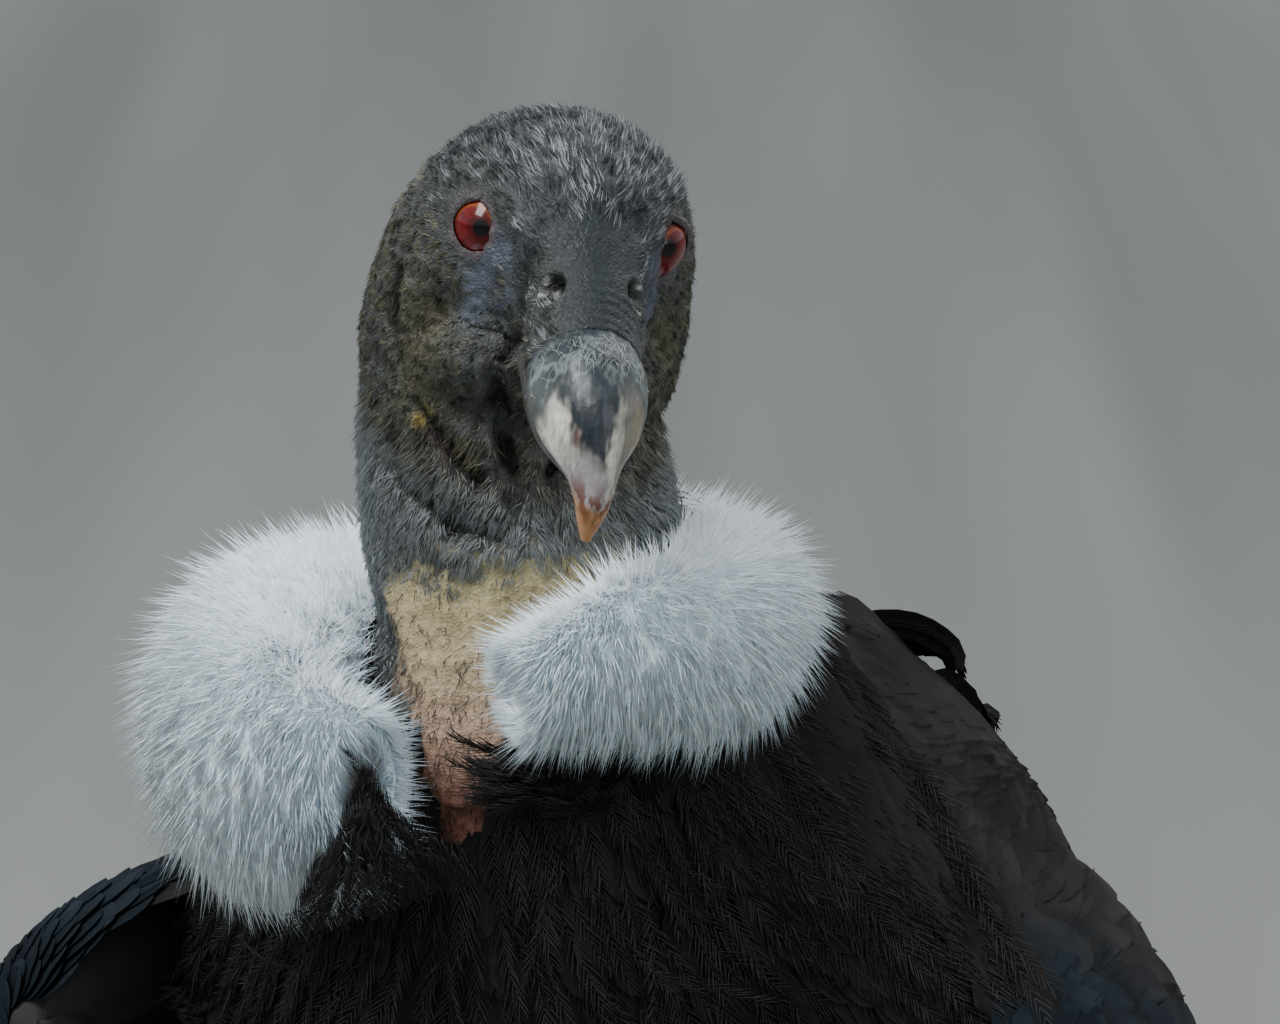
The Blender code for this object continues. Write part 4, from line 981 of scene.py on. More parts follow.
# Lines and places on the head that are carved in or raised, in its own axes (left, forward and up, in
# millimetres), with how wide they are and how far the skin rises there. Both sides have them
BILL_SIDE_LINE = [
    (13.6, 19, -21.5),
    (16, 23.5, -28),
    (14.6, 21.5, -35),
    (11, 18.5, -46),
    (8, 21.5, -54),
    (5, 26, -60),
]
HEAD_FORMS = {
    "brow": ([(30, -17, 10), (28.5, -6, 14.5), (24.5, 3, 15.5), (19, 11, 14.5), (14, 19, 13)], 4.5, 1.5),
    "under_eye": ([(31, -6, -10), (26, 6, -9), (21, 13, -6)], 3.0, -0.8),
    "lore": ([(19, 12, 6), (16.5, 18, -2), (15.5, 26, -9)], 4.0, -1.2),
    "cheek_swell": ([(24, 8, -20), (21, 14, -30)], 7.0, 0.9),
    "jaw_top": ([(27, 5, -29.5), (20.8, 8.4, -23.4), (17.4, 11.9, -22.0), (13.7, 16.4, -20.2)], 3.2, 2.5),
    "jaw_shelf": ([(26, 10, -31), (21, 16.2, -26.8), (17.9, 19.0, -25.0)], 2.8, -1.3),
    "bill_side": (BILL_SIDE_LINE, 1.6, -3.2),
    "bill_side_lip": ([(19.6, 20.5, -29), (17, 18.2, -40), (13.5, 19, -51), (10.5, 24, -59)], 1.8, 1.3),
    "mouth": ([(16, 35, -18.5), (17, 27, -20), (17.3, 22, -22.5)], 1.4, -2.6),
    "cere_side": ([(15.5, 20, 3), (15.2, 28, -6), (15.5, 33, -14), (16.3, 28, -21)], 2.6, -2.0),
    "gape": ([(17, 23, -23), (17.8, 20, -30), (16, 17, -38), (12.5, 18.5, -47), (8, 24, -58)], 1.9, -3.4),
    "gape_lip": ([(20.5, 17, -25), (21.8, 14, -33), (19.5, 12, -41), (15.5, 15, -50)], 2.4, 1.7),
    "chin_fold": ([(12, 24, -33), (10, 23, -44), (7, 26, -56)], 1.3, -2.2),
    "cheek_fold": ([(21, 15, -33), (18.5, 13.5, -42), (15, 16.5, -53)], 1.1, -1.9),
    "ear_fold": ([(40.5, -10, -24), (40, -7, -31), (39, -4, -39), (36, 1, -46)], 1.7, -2.8),
    "ear_lip": ([(39, -4, -25), (38.5, -1, -32), (37, 2, -39)], 2.6, 1.2),
    "jaw_crease": ([(31, 9, -54), (27, 15, -57.5), (21, 21.6, -61.2), (14, 26, -65)], 1.9, -3.2),
    "jaw_roll": ([(34, 6, -62), (28, 17, -66), (20, 25, -69), (10, 30, -71)], 3.6, 1.5),
    "throat_fold": ([(37, 3, -71), (30, 20, -75), (20, 30, -77), (8, 35, -76)], 2.0, -2.8),
    "throat_roll": ([(37, 8, -80), (29, 25, -83), (18, 35, -84), (4, 38, -80)], 3.2, 1.3),
    "neck_fold": ([(41, -8, -62), (43, -14, -78), (42, -20, -95)], 2.4, -1.2),
    "nape_fold": ([(36, -36, -40), (40, -24, -58), (40, -10, -72)], 2.6, -1.3),
}
BILL_ASIDE = -0.0027
NOSTRIL = (11.2, 32.0, 8.4)
NOSTRIL_SIZE = (3.6, 3.9, 3.4)
# Nostril and ear: the place, the half sizes, the rim's height, place and width, and how deep the opening is
OPENINGS = [
    (NOSTRIL, NOSTRIL_SIZE, (0.6, 1.35, 0.3), 4.4),
    ((38.0, -31.0, -12.0), (5.0, 4.0, 5.0), (0.9, 1.5, 0.5), 3.2),
]
PIT = (-19.8, 32.4, -77.6)
BARE_PATCH = [(21, 11, 2), (24, 7, -6.4), (22.7, 8.5, -16.7), (22.5, 9.5, -23)]

# What is painted on the skin: a line or spot on the head, how wide it is, its colour and how strongly. The
# first table's marks are on both sides, and each of the second is only where it is given
BOTH_MARKS = [
    ([(0, -40, 14), (0, -20, 22), (0, -2, 26)], 24.0, (0.030, 0.034, 0.038), 0.8),
    ([(12, 10, 20), (16, 17, 13), (17, 20, 4)], 4.5, (0.012, 0.013, 0.014), 0.8),
    ([(0, 14, 21), (0, 26, 17), (0, 40, 13), (0, 52, 10)], 11.0, CERE, 0.95),
    ([(21, 11, 2), (24, 7.5, -6.4), (23.8, 7.5, -15), (23.5, 7.5, -21)], 4.6, (0.064, 0.076, 0.104), 0.85),
    ([(17, 17, -5), (18, 15, -14)], 3.0, (0.050, 0.060, 0.085), 0.7),
    ([(31, -1, -8), (33, -4, -18)], 6.0, (0.058, 0.061, 0.060), 0.7),
    ([(34, 2, -30), (33, 5, -42), (31, 9, -50)], 9.0, (0.068, 0.062, 0.038), 0.75),
    ([(36, -20, -20), (40, -26, -40)], 10.0, (0.050, 0.051, 0.043), 0.6),
    # The next five marks darken the gape, the mouth, the cere's side, the ear fold and the jaw crease:
    # painted shade in these creases
    (
        [(15.5, 23, -24), (15.5, 21.5, -33), (12, 18.5, -45), (8.5, 21.5, -54), (6, 26, -60)],
        2.4,
        (0.008, 0.008, 0.008),
        0.95,
    ),
    ([(16, 35, -18.5), (17.3, 22, -22.5)], 1.8, (0.010, 0.008, 0.008), 0.95),
    ([(15.5, 21, 3), (15.2, 28, -6), (15.5, 33, -14)], 2.6, (0.020, 0.021, 0.022), 0.8),
    ([(40.5, -10, -24), (40, -7, -31), (39, -4, -39)], 2.0, (0.018, 0.016, 0.013), 0.9),
    ([(27, 15, -57.5), (21, 21.6, -61.2)], 2.4, (0.018, 0.014, 0.013), 0.85),
    # Painted shade under the bill
    ([(8, 26, -44), (6, 28, -58)], 8.0, (0.028, 0.024, 0.020), 0.75),
]
SIDE_MARKS = [
    ([(-30.5, 12.4, -57.5), (-30.0, 12.0, -54)], 1.7, (0.330, 0.250, 0.045), 0.9),
    ([(-26.8, 15.3, -57.5), (-22, 20, -61)], 2.6, (0.060, 0.030, 0.026), 0.6),
    # Painted shade in the pit
    ([PIT], 3.4, (0.012, 0.010, 0.010), 0.9),
]
# The bare throat from its lowest to its highest station of the flesh, with its colours. FRONT_ANGLE brings
# the middle of the throat to angle 0
THROAT_BANDS = [
    (8.1, 0.130, 0.048, 0.032),
    (8.4, 0.220, 0.120, 0.085),
    (8.7, 0.300, 0.205, 0.145),
    (9.0, 0.310, 0.240, 0.150),
    (9.3, 0.290, 0.240, 0.130),
    (9.5, 0.215, 0.190, 0.100),
    (9.75, 0.060, 0.058, 0.045),
]
FRONT_ANGLE = 1.62
BARE_FRONT = ([8.0, 8.2, 8.4, 8.8, 9.0, 9.2, 9.4], [-0.2, 0.08, 0.15, 0.28, 0.45, 0.70, 1.3])
THROAT_WIDTH = ([8.0, 8.8, 9.0, 9.2, 9.45, 9.8], [0.50, 0.52, 0.58, 0.74, 0.92, 1.1])


def near_line(points, line):
    """How far points are from a broken line, and how far along it their nearest place is."""
    line = np.asarray(line, float)
    if len(line) == 1:
        return np.linalg.norm(points - line[0], axis=1), np.zeros(len(points))
    best, along = np.full(len(points), 1e9), np.zeros(len(points))
    passed = 0.0
    for a, b in zip(line[:-1], line[1:]):
        step = b - a
        size = np.linalg.norm(step)
        s = np.clip((points - a) @ step / size**2, 0.0, 1.0)
        gap = np.linalg.norm(points - a - s[:, None] * step, axis=1)
        closer = gap < best
        best = np.where(closer, gap, best)
        along = np.where(closer, passed + s * size, along)
        passed += size
    return best, along


def both_sides(local):
    """Points with the bird's right side folded onto its left."""
    return np.column_stack([np.abs(local[:, 0]), local[:, 1:]])


def flesh_places(points):
    """The station and angle of the flesh loft nearest to each point."""
    ts = np.arange(0.0, 20.01, 0.1)
    angles = np.arange(96) * TURN / 96 - TURN / 4
    found = nearest(flesh(ts[:, None], angles[None, :]).reshape(-1, 3), points)
    return ts[found // len(angles)], angles[found % len(angles)]


def bare_front(t, angle):
    """How much a place on the flesh is bare skin: all of head and neck, and the throat's front."""
    round_front = np.abs(wrapped(np.asarray(angle) + FRONT_ANGLE))
    width = np.interp(t, *BARE_FRONT)
    front = smooth(width + 0.16, width, round_front) * smooth(8.12, 8.27, t)
    return np.maximum(front, smooth(8.8, 9.35, t))


def throat_front(t, angle, ragged):
    """How much a place on the flesh is in the throat's pale bare stripe."""
    width = np.interp(t, *THROAT_WIDTH)
    return smooth(width + 0.16, width - 0.10, np.abs(wrapped(np.asarray(angle) + FRONT_ANGLE)) + ragged)


def throat_top(t, angle, ragged):
    """How much a place on the flesh is below the ragged line where the throat's bare skin begins."""
    aside = np.clip(-wrapped(np.asarray(angle) + FRONT_ANGLE), 0.0, 1.0)
    return smooth(9.62, 9.42, t + 0.35 * ragged + 0.34 * aside)


def head_shell():
    """Head, jaw, neck and throat as one even fine surface, before its details."""

    def surface(t, angle):
        return flesh(t, angle, -0.007 * (1 - bare_front(t, angle)))

    shell = grid_mesh(surface, np.arange(6.3, 20.001, 0.07), 120)
    jaw = grid_mesh(partial(on_loft, JAW), np.linspace(0, 3, 30), 60)
    return remeshed(*join(shell, jaw), HEAD_VOXEL, 4)


def wrinkles(points, local):
    """Fine folds of the skin in millimetres, which run down the cheeks and across the neck."""
    stretched = points * np.array([1.0, 1.0, 0.42])
    fine = 1 - np.abs(waves(stretched, 0.0060, 3))
    coarse = 1 - np.abs(waves(stretched, 0.017, 5))
    side, ahead, up = local.T
    smooth_cere = smooth(16, 8, np.abs(side)) * smooth(12, 20, ahead) * smooth(-20, -8, up)
    crown = smooth(0, 14, up)
    amount = (1 - 0.85 * smooth_cere) * (1 - 0.5 * crown)
    return amount * (0.75 * (fine - 0.6) + 1.2 * (coarse - 0.6) * smooth(4, -16, up))


def sculpted(points, tris):
    """The head's shell with its folds, brows, nostrils, ears and wrinkles, and how far each place rose."""
    normals = point_normals(points, tris)
    local = in_head(points)
    folded = both_sides(local)
    rise = wrinkles(points, local)
    for line, width, height in HEAD_FORMS.values():
        gap, _ = near_line(folded, line)
        rise += height * np.exp(-((gap / width) ** 2))
    for place, size, (high, reach, wide), deep in OPENINGS:
        gap = np.linalg.norm((folded - place) / size, axis=1)
        rise += high * bell(gap, reach, wide) - deep * np.exp(-(gap**4))
    rise -= 3.2 * np.exp(-((np.linalg.norm(local - PIT, axis=1) / 3.2) ** 2))
    side, ahead, up = local.T
    ring = smooth(30, 40, ahead) * smooth(14, 10, np.abs(side))
    rise += 0.16 * np.sin(ahead * 2.1 + 0.6 * waves(points, 0.02, 9)) * ring * smooth(0, 6, up)
    return leaning(points + normals * (rise * MM)[:, None]), rise


def leaning(points):
    """The front of the face set a little towards the bird's right, as bill and cere are in the photo."""
    local = in_head(points)
    aside = BILL_ASIDE * smooth(26, 50, local[:, 1]) * smooth(-44, -30, local[:, 2])
    return points + HEAD_LEFT * aside[:, None]


def eye_frame(side):
    """The axes of an eyeball, with its look as the third."""
    sign = mirrored(side)
    apart = EYE_DIVERGENCE[side]
    look = unit(sign * math.sin(apart) * HEAD_LEFT + math.cos(apart) * HEAD_FORWARD)
    across = unit(np.cross(HEAD_UP, look))
    return across, np.cross(look, across), look


def eye_centre(side):
    """The middle of an eyeball."""
    return on_head(*(np.array(EYE_PLACE[side]) * (mirrored(side), 1, 1)))


def from_eyes(points):
    """How far points are from the middle of the nearer eyeball."""
    return np.minimum(*(np.linalg.norm(points - eye_centre(side), axis=1) for side in SIDES))


def lid_mesh(side):
    """The bare rim round an eye: a ring with a slight peak at its top."""
    across, up, look = eye_frame(side)
    around, section = 96, 14
    a = np.arange(around) * TURN / around
    b = (np.arange(section) * TURN / section)[None, :, None]
    wide, tall = EYE_OPENING
    peak = 0.0008 * bell(wrapped(a - math.pi / 2), 0.0, 0.30)
    opening = np.hypot(np.cos(a) * wide, np.sin(a) * tall) + peak
    depth = np.sqrt(EYE_RADIUS**2 - opening**2) - 0.0003
    out = np.cos(a)[:, None] * across + np.sin(a)[:, None] * up
    rim = LID_RIM * (1 + 0.10 * np.sin(a * 17 + 1) * np.sin(a * 5))
    middle = eye_centre(side) + look * depth[:, None] + out * (opening + rim * 0.6)[:, None]
    ring = middle[:, None] + rim[:, None, None] * (np.cos(b) * out[:, None] * 1.1 + np.sin(b) * look)
    j, k = (values.ravel() for values in np.meshgrid(np.arange(around), np.arange(section), indexing="ij"))
    n, m = (j + 1) % around, (k + 1) % section
    first, second, third, fourth = (x * section + y for x, y in ((j, k), (j, m), (n, m), (n, k)))
    tris = np.concatenate([columns(first, second, third), columns(first, third, fourth)])
    points = ring.reshape(-1, 3)
    return points, outward(points, tris)


def toe_line(side, turn, length, radius):
    """The middle line of a toe on the floor: up over its joint, along and a little down to its end."""
    sign = mirrored(side)
    angle = math.radians(turn) * sign
    ahead = np.array([math.sin(angle), -math.cos(angle), 0.0])
    start = TOE_JOINT * (sign, 1.0, 1.0)
    shape = spline(TOE_ARCH, np.linspace(0, 4, TOE_RINGS))
    drop = np.outer(shape[:, 1] * (start[2] - radius * 0.78), UPWARDS)
    return start + ahead * (length * shape[:, :1]) + drop


def leg_shell():
    """Shanks and toes of both feet as one fine surface with scutes."""
    parts, lines = [], []
    share, size = np.array(TARSUS_SHAPE).T
    fine = np.linspace(share[0], share[-1], 30)
    pads = 1 + 0.05 * np.cos(np.linspace(0, 6 * math.pi, TOE_RINGS))
    for side in SIDES:
        flip = (mirrored(side), 1.0, 1.0)
        ankle, joint = ANKLE * flip, TOE_JOINT * flip
        centres = ankle + (joint - ankle) * fine[:, None]
        parts.append(tube_mesh(centres, TARSUS_RADIUS * np.interp(fine, share, size), 24, 1.15, (0, -1, 0)))
        lines.append((centres[::6], np.array([0.0, -1.0, -0.1]), 0.0052))
        parts.append(ball_mesh(joint * (1, 1, 0.72), (0.0150, 0.0170, 0.0165), np.eye(3)))
        for _, turn, length, radius in TOES:
            line = toe_line(side, turn, length, radius)
            radii = radius * np.interp(np.linspace(0, 4, TOE_RINGS), range(5), TOE_SHAPE)
            parts.append(tube_mesh(line, radii * pads, 20, 0.92))
            lines.append((line[::4], UPWARDS, 0.0046))
    points, tris = remeshed(*join(*parts), LEG_VOXEL, 2)
    normals = point_normals(points, tris)
    rise, closest = np.zeros(len(points)), np.full(len(points), 1e9)
    for line, facing, pitch in lines:
        gap, along = near_line(points, line)
        phase = (along / pitch) % 1.0
        plate = (phase**0.5) * smooth(1.0, 0.86, phase)
        front = smooth(0.15, 0.6, normals @ facing)
        rise = np.where(gap < closest, plate * front * 0.0008, rise)
        closest = np.minimum(gap, closest)
    cells = 0.0003 * waves(points, 0.0028, 21, 2)
    points = points + normals * (rise + np.where(rise > 0.0001, 0, cells))[:, None]
    points[:, 2] = np.maximum(points[:, 2], 0.0001)
    return points, tris


def body_shell():
    """The torso and the feathered legs under their coat."""
    parts = [grid_mesh(lambda t, angle: flesh(t, angle, -BODY_COAT), np.arange(0.0, 7.31, 0.12), 90)]
    for side in SIDES:

        def leg(t, angle, surface=thigh_surface(side)):
            return surface(t, angle, -0.007 - 0.004 * smooth(3.2, 3.8, t))

        parts.append(grid_mesh(leg, np.linspace(0, 3.8, 30), 48))
    return remeshed(*join(*parts), BODY_VOXEL, 2)


def united(base, others, cut):
    """The union of closed meshes with others cut out of it, as points and triangles."""
    for operation, meshes in (("UNION", others), ("DIFFERENCE", cut)):
        for mesh in meshes:
            target, tool = add_mesh("union", *base), add_mesh("tool", *mesh)
            modifier = target.modifiers.new("boolean", "BOOLEAN")
            modifier.operation = operation
            modifier.solver = "MANIFOLD"
            modifier.object = tool
            base = arrays_of(target)
            bpy.data.objects.remove(tool)
            bpy.data.objects.remove(target)
    return base


def skin_tint(points, t, angle, rise):
    """The skin's colour at points, with their places on the flesh and how far they rose in sculpting. It
    holds painted shade in folds, creases, nostrils and a pit and under the bill, and painted highlight on
    raised places.
    """
    local = in_head(points)
    folded = both_sides(local)
    colour = np.tile(np.array(SKIN_BASE), (len(points), 1))
    for places, marks in ((folded, BOTH_MARKS), (local, SIDE_MARKS)):
        for line, width, paint, strength in marks:
            gap, _ = near_line(places, line)
            colour = toward(colour, paint, strength * np.exp(-((gap / width) ** 2)))
    stations, *bands = np.array(THROAT_BANDS).T
    throat = np.stack([np.interp(t, stations, band) for band in bands], 1)
    ragged = throat_edge(points)
    front = throat_front(t, angle, ragged) * throat_top(t - 0.05, angle, ragged)
    colour = toward(colour, throat, front)
    colour = toward(colour, SKIN_RUST, smooth(8.5, 8.0, t + 1.0 * ragged) * front * 0.4)
    # Painted shade deep in the folds and painted highlight on the raised places, by how far each place rose
    colour = colour * (1 - 0.72 * valley(rise))[:, None] * (1 + 0.30 * smooth(0.2, 1.4, rise))[:, None]
    nostril = np.linalg.norm((folded - NOSTRIL) / NOSTRIL_SIZE, axis=1)
    outwards = dot(unit(folded - NOSTRIL), unit(np.array([0.75, 0.30, -0.60])))[:, 0]
    shred = bell(nostril, 1.25, 0.17) * smooth(0.02, 0.26, waves(points, 0.0030, 19))
    colour = toward(colour, SHREDS, shred * smooth(-0.5, 0.3, outwards), 0.9)
    # Painted shade inside the nostrils' openings
    colour = colour * (1 - 0.80 * smooth(1.12, 0.9, nostril))[:, None]
    gap = from_eyes(points)
    colour = toward(colour, LID, smooth(0.0125, 0.0108, gap), 0.85)
    colour = toward(colour, LID_INNER, smooth(0.0103, 0.0100, gap), 0.4)
    colour = toward(colour, BLACK, smooth(8.15, 8.0, t))
    spots = 1 + 0.35 * waves(points, 0.006, 17)[:, None]
    return toward(colour, SCUTES * spots, smooth(0.16, 0.145, points[:, 2]))


def throat_edge(points):
    """How ragged the edge of the throat's bare skin is at points."""
    return 0.13 * waves(points, 0.02, 31)


def valley(rise):
    """How deep in a fold a place on the head is, from 0 to 1."""
    return smooth(-0.15, -1.9, rise)


def make_skin(look):
    """One skin from the cere to the toes, in place of all nodes of flesh."""
    shell, shell_tris = head_shell()
    carved, depths = sculpted(shell, shell_tris)
    socket = (EYE_RADIUS + SOCKET_GAP,) * 3
    sockets = [ball_mesh(eye_centre(side), socket, np.array(eye_frame(side)), 48, 32) for side in SIDES]
    others = [*map(lid_mesh, SIDES), body_shell(), leg_shell()]
    points, tris = united((carved, shell_tris), others, sockets)
    t, angle = flesh_places(points)
    rise = depths[nearest(carved, points)] * smooth(7.6, 8.0, t)
    nodes = ["head", "neck", "torso"]
    nodes += [f"{kind}_{side}" for kind in ("thigh", "tarsus", "foot") for side in SIDES]
    tint = skin_tint(points, t, angle, rise)
    piece("skin", points, tris, look, "head_skin", nodes, flesh_map(t, angle), tint)
    return points, tris, t, angle, rise


def off_gaze(side, points):
    """How far points of an eyeball are from where the eye looks, as an angle, and in which direction."""
    azimuth, elevation = (math.radians(degrees) for degrees in GAZE[side])
    level = np.array([math.sin(azimuth), -math.cos(azimuth), 0.0])
    gaze = level * math.cos(elevation) + UPWARDS * math.sin(elevation)
    across = unit(np.cross(UPWARDS, gaze))
    local = unit(points - eye_centre(side)) @ np.array([across, np.cross(gaze, across), gaze]).T
    return np.arccos(np.clip(local[:, 2], -1, 1)), np.arctan2(local[:, 1], local[:, 0])


def make_eyes(look):
    """Eyeballs with a crimson iris, a dark pupil and a golden rim."""
    for side in SIDES:
        axes = np.array(eye_frame(side))
        points, tris = ball_mesh(eye_centre(side), (EYE_RADIUS,) * 3, axes, 96, 72)
        offset = (points - eye_centre(side)) @ axes.T
        inside = np.hypot(offset[:, 0] / EYE_OPENING[0], offset[:, 1] / EYE_OPENING[1])
        inside = np.where(offset[:, 2] > 0, inside, 2.0)
        off, turn = off_gaze(side, points)
        points = points + unit(offset @ axes) * (0.0005 * smooth(0.70, 0.1, off))[:, None]
        random = np.random.default_rng(SEED)
        streak = sum(np.sin(turn * k + random.uniform(0, 6)) for k in (11, 17, 29, 43)) / 4
        colour = toward(IRIS_DEEP, IRIS * (1 + 0.5 * streak[:, None]), smooth(0.22, 0.60, off))
        colour = toward(colour, IRIS_RIM, bell(inside, 0.92, 0.035) * 0.7)
        colour = toward(colour, PUPIL, smooth(0.235, 0.205, off))
        colour = toward(colour, SOCKET, smooth(0.96, 1.02, inside))
        uv = columns(turn / TURN + 0.5, off / math.pi)
        piece(f"eye_ball_{side}", points, tris, look, "eye", [f"eye_{side}"], uv, colour)


def horn_tint(points):
    """The bill's colour: slate on the ridge, ivory on the sides, rusty towards a tan tip, and painted shade
    over its left side.
    """
    local = in_head(points)
    side, ahead, up = local.T
    worn = waves(points, 0.008, 41)
    fine = waves(local * (1.0, 0.10, 0.16), 1.9, 43)
    thin = waves(local * (1.0, 0.09, 0.14), 0.75, 45)
    # The bill's left side is painted darker: painted shade on the side away from the light
    colour = toward(IVORY, HORN_PAINTED_SHADE, smooth(1.5, 6.0, side + 1.0 * worn + 1.2 * fine), 0.92)
    colour = toward(colour, HORN_RIM, smooth(6.5, 9.5, side + 1.0 * worn) * smooth(62, 70, ahead), 0.75)
    far = smooth(-2.0, -9.0, up + 1.5 * worn) * smooth(70, 78, ahead)
    middle = np.abs(side + 2.6) + 1.2 * worn + 1.1 * fine
    colour = toward(colour, PEARL, smooth(6.8, 4.0, middle) * far, 0.9)
    wide = np.interp(ahead, [62, 70, 80, 88], [10.5, 7.6, 5.0, 4.0])
    ridge = smooth(wide + 1.2, wide - 1.4, middle) * (1 - 0.95 * far)
    colour = toward(colour, SLATE * (1 + 0.9 * smooth(0.1, 0.8, fine))[:, None], ridge)
    base = smooth(72.5, 65, ahead + 2.2 * worn + 1.2 * fine)
    colour = toward(colour, GLASSY, base, 0.94)
    top = base * smooth(13, 6, np.abs(side + 1.5)) * smooth(-2, 6, up)
    colour = toward(colour, SLATE * 1.25, top, 0.85)
    colour = toward(colour, HORN_EDGE, smooth(-9, -14, up) * smooth(62, 52, ahead))
    colour = toward(colour, CERE, smooth(58, 53, ahead + 2.2 * worn + 1.4 * fine))
    streaks = smooth(0.15, 0.8, fine) * smooth(12, 5, np.abs(side + 2)) * smooth(88, 80, ahead)
    colour = toward(colour, SLATE * 2.6, streaks, 0.45)
    colour = colour * (1 - 0.34 * smooth(0.25, 0.85, thin) * smooth(90, 84, ahead))[:, None]
    colour = toward(colour, HORN_LIGHT, smooth(0.15, 0.8, -fine) * smooth(74, 62, ahead), 0.25)
    tan = HORN_TAN * (1 - 0.35 * smooth(0.1, 0.5, fine))[:, None]
    colour = toward(colour, tan, smooth(-14.5, -18.0, up + 1.0 * worn) * smooth(76, 82, ahead))
    ragged = waves(points * np.array([1.0, 1.0, 0.5]), 0.0036, 47)
    stain = bell(up + 1.2 * worn, -15.5, 5.2) * smooth(76, 85, ahead) * smooth(-0.22, 0.25, ragged)
    colour = toward(colour, HORN_STAIN, stain, 0.9)
    speck = np.linalg.norm((local - (-6.8, 79.0, -2.5)) / (0.8, 2.2, 3.0), axis=1)
    colour = toward(colour, HORN_SPECK, np.exp(-(speck**2)) * 0.85)
    flake = smooth(0.70, 0.97, 1 - np.abs(waves(points, 0.011, 53))) * bell(ahead, 60, 8) * smooth(-8, 0, up)
    return toward(colour, HORN_FLAKES, flake, 0.5)


def bill_map(local):
    """Where places of the bill, in the head's axes, lie on its map."""
    angle = np.arctan2(local[:, 0], local[:, 2] + 10)
    return columns(angle / TURN + 0.5, (local[:, 1] + 10) / 110)


def make_bill(look):
    """The horny bill: a high arched upper one with its hook, and the lower one under it."""
    points, tris = grid_mesh(partial(on_loft, UPPER_BILL), np.linspace(0, len(UPPER_BILL) - 1, 190), 120)
    local = in_head(points)
    edge = bell(local[:, 2], -15.5, 2.0) * smooth(76, 60, local[:, 1])
    lines = 0.10 * waves(local * (1.6, 0.12, 0.5), 4.0, 61)
    flakes = 0.35 * np.maximum(0, waves(points, 0.006, 63)) * bell(local[:, 1], 55, 5)
    points = points + point_normals(points, tris) * ((0.5 * edge + lines + flakes) * MM)[:, None]
    tint = horn_tint(points)
    piece("horn_upper", leaning(points), tris, look, "bill_horn", ["bill_upper"], bill_map(local), tint)

    points, tris = grid_mesh(partial(on_loft, LOWER_BILL), np.linspace(0, len(LOWER_BILL) - 1, 60), 60)
    tint = HORN_LOWER * (1 + 0.3 * waves(points, 0.006, 65)[:, None])
    uv = bill_map(in_head(points))
    piece("horn_lower", leaning(points), tris, look, "bill_horn", ["bill_lower"], uv, tint)

    random = np.random.default_rng(SEED)
    count = 210
    t = random.uniform(1.0, 2.1, count)
    angle = math.pi / 2 + random.normal(0, 0.8, count)

    def shifted(t_by, angle_by, lift):
        return leaning(on_loft(UPPER_BILL, t + t_by, angle + angle_by, lift))

    roots = shifted(0, 0, 0.0001)
    beside, ahead = unit(shifted(0, 0.03, 0.0001) - roots), unit(shifted(0.04, 0, 0.0001) - roots)
    normal = unit(shifted(0, 0, 0.002) - roots)
    turn = random.uniform(-1.0, 1.0, (count, 1))
    grow = unit(beside * turn * 1.3 + ahead * 0.6 + normal * 0.10)
    bent = unit(beside * turn * 0.2 + ahead - normal * 0.22)
    length = random.uniform(0.0015, 0.0070, count)
    patch = columns(angle / 7, t / 7)
    batch = spikes(roots, grow, bent, length, random.uniform(0.00008, 0.00022, count), patch, 3, 0.5)
    pale = HORN_SHREDS * random.uniform(0.5, 1.2, (count, 1))
    coat("bill_flakes", shaded(batch, pale * 0.8, pale), look, "bill_horn")


def make_claws(look):
    """Curved claws, paler towards their worn tips."""
    for side in SIDES:
        for name, turn, length, radius in TOES:
            line = toe_line(side, turn, length, radius)
            ahead = unit(line[-1] - line[-2])
            long = CLAW_LENGTH[name]
            share = np.linspace(-0.12, 1.0, 26)
            rise, thick = (np.interp(share, CLAW_SHAPE[0], values) for values in CLAW_SHAPE[1:])
            centres = line[-1] + ahead * (long * share)[:, None] + np.outer(rise * long, UPWARDS)
            lowest = (centres[:, 2] - radius * thick).min()
            centres[:, 2] += max(0.0, -lowest) + 0.0003
            points, tris = tube_mesh(centres, radius * thick, 20)
            angle = np.arctan2(points[:, 2] - 0.01, points[:, 0])
            far = np.clip(((points - line[-1]) @ ahead) / long, 0, 1)
            uv = columns(angle / TURN + 0.5, far)
            tint = CLAW_ROOT + np.outer(far**2, CLAW_WORN)
            piece(f"nail_{side}_{name}", points, tris, look, "claw", [f"claw_{side}_{name}"], uv, tint)


def spread_over(points, tris, density, random):
    """Places scattered over a surface by a density per square metre, as triangles and corner shares."""
    a, b, c = (points[tris[:, k]] for k in range(3))
    area = np.linalg.norm(np.cross(b - a, c - a), axis=1) / 2
    weight = area * density[tris].mean(1)
    count = random.poisson(weight)
    chosen = np.repeat(np.arange(len(tris)), count)
    u, v = random.random((2, len(chosen)))
    flip = u + v > 1
    u, v = np.where(flip, 1 - u, u), np.where(flip, 1 - v, v)
    return chosen, columns(1 - u - v, u, v)


def at_corners(values, tris, chosen, shares):
    """Values at points, brought to scattered places."""
    return (values[tris[chosen]] * shares[..., None]).sum(1)


def lie_on_head(local, normals):
    """The way bristles lie: back over the crown, down over the cheeks and down the neck."""
    down = smooth(12, -28, local[:, 2])[:, None]
    low = smooth(-62, -84, local[:, 2])[:, None]
    lie = -HEAD_FORWARD * (1 - down) - HEAD_UP * down
    lie = lie * (1 - low) - UPWARDS * low + np.sign(local[:, :1]) * HEAD_LEFT * 0.25
    return unit(lie - normals * dot(lie, normals))


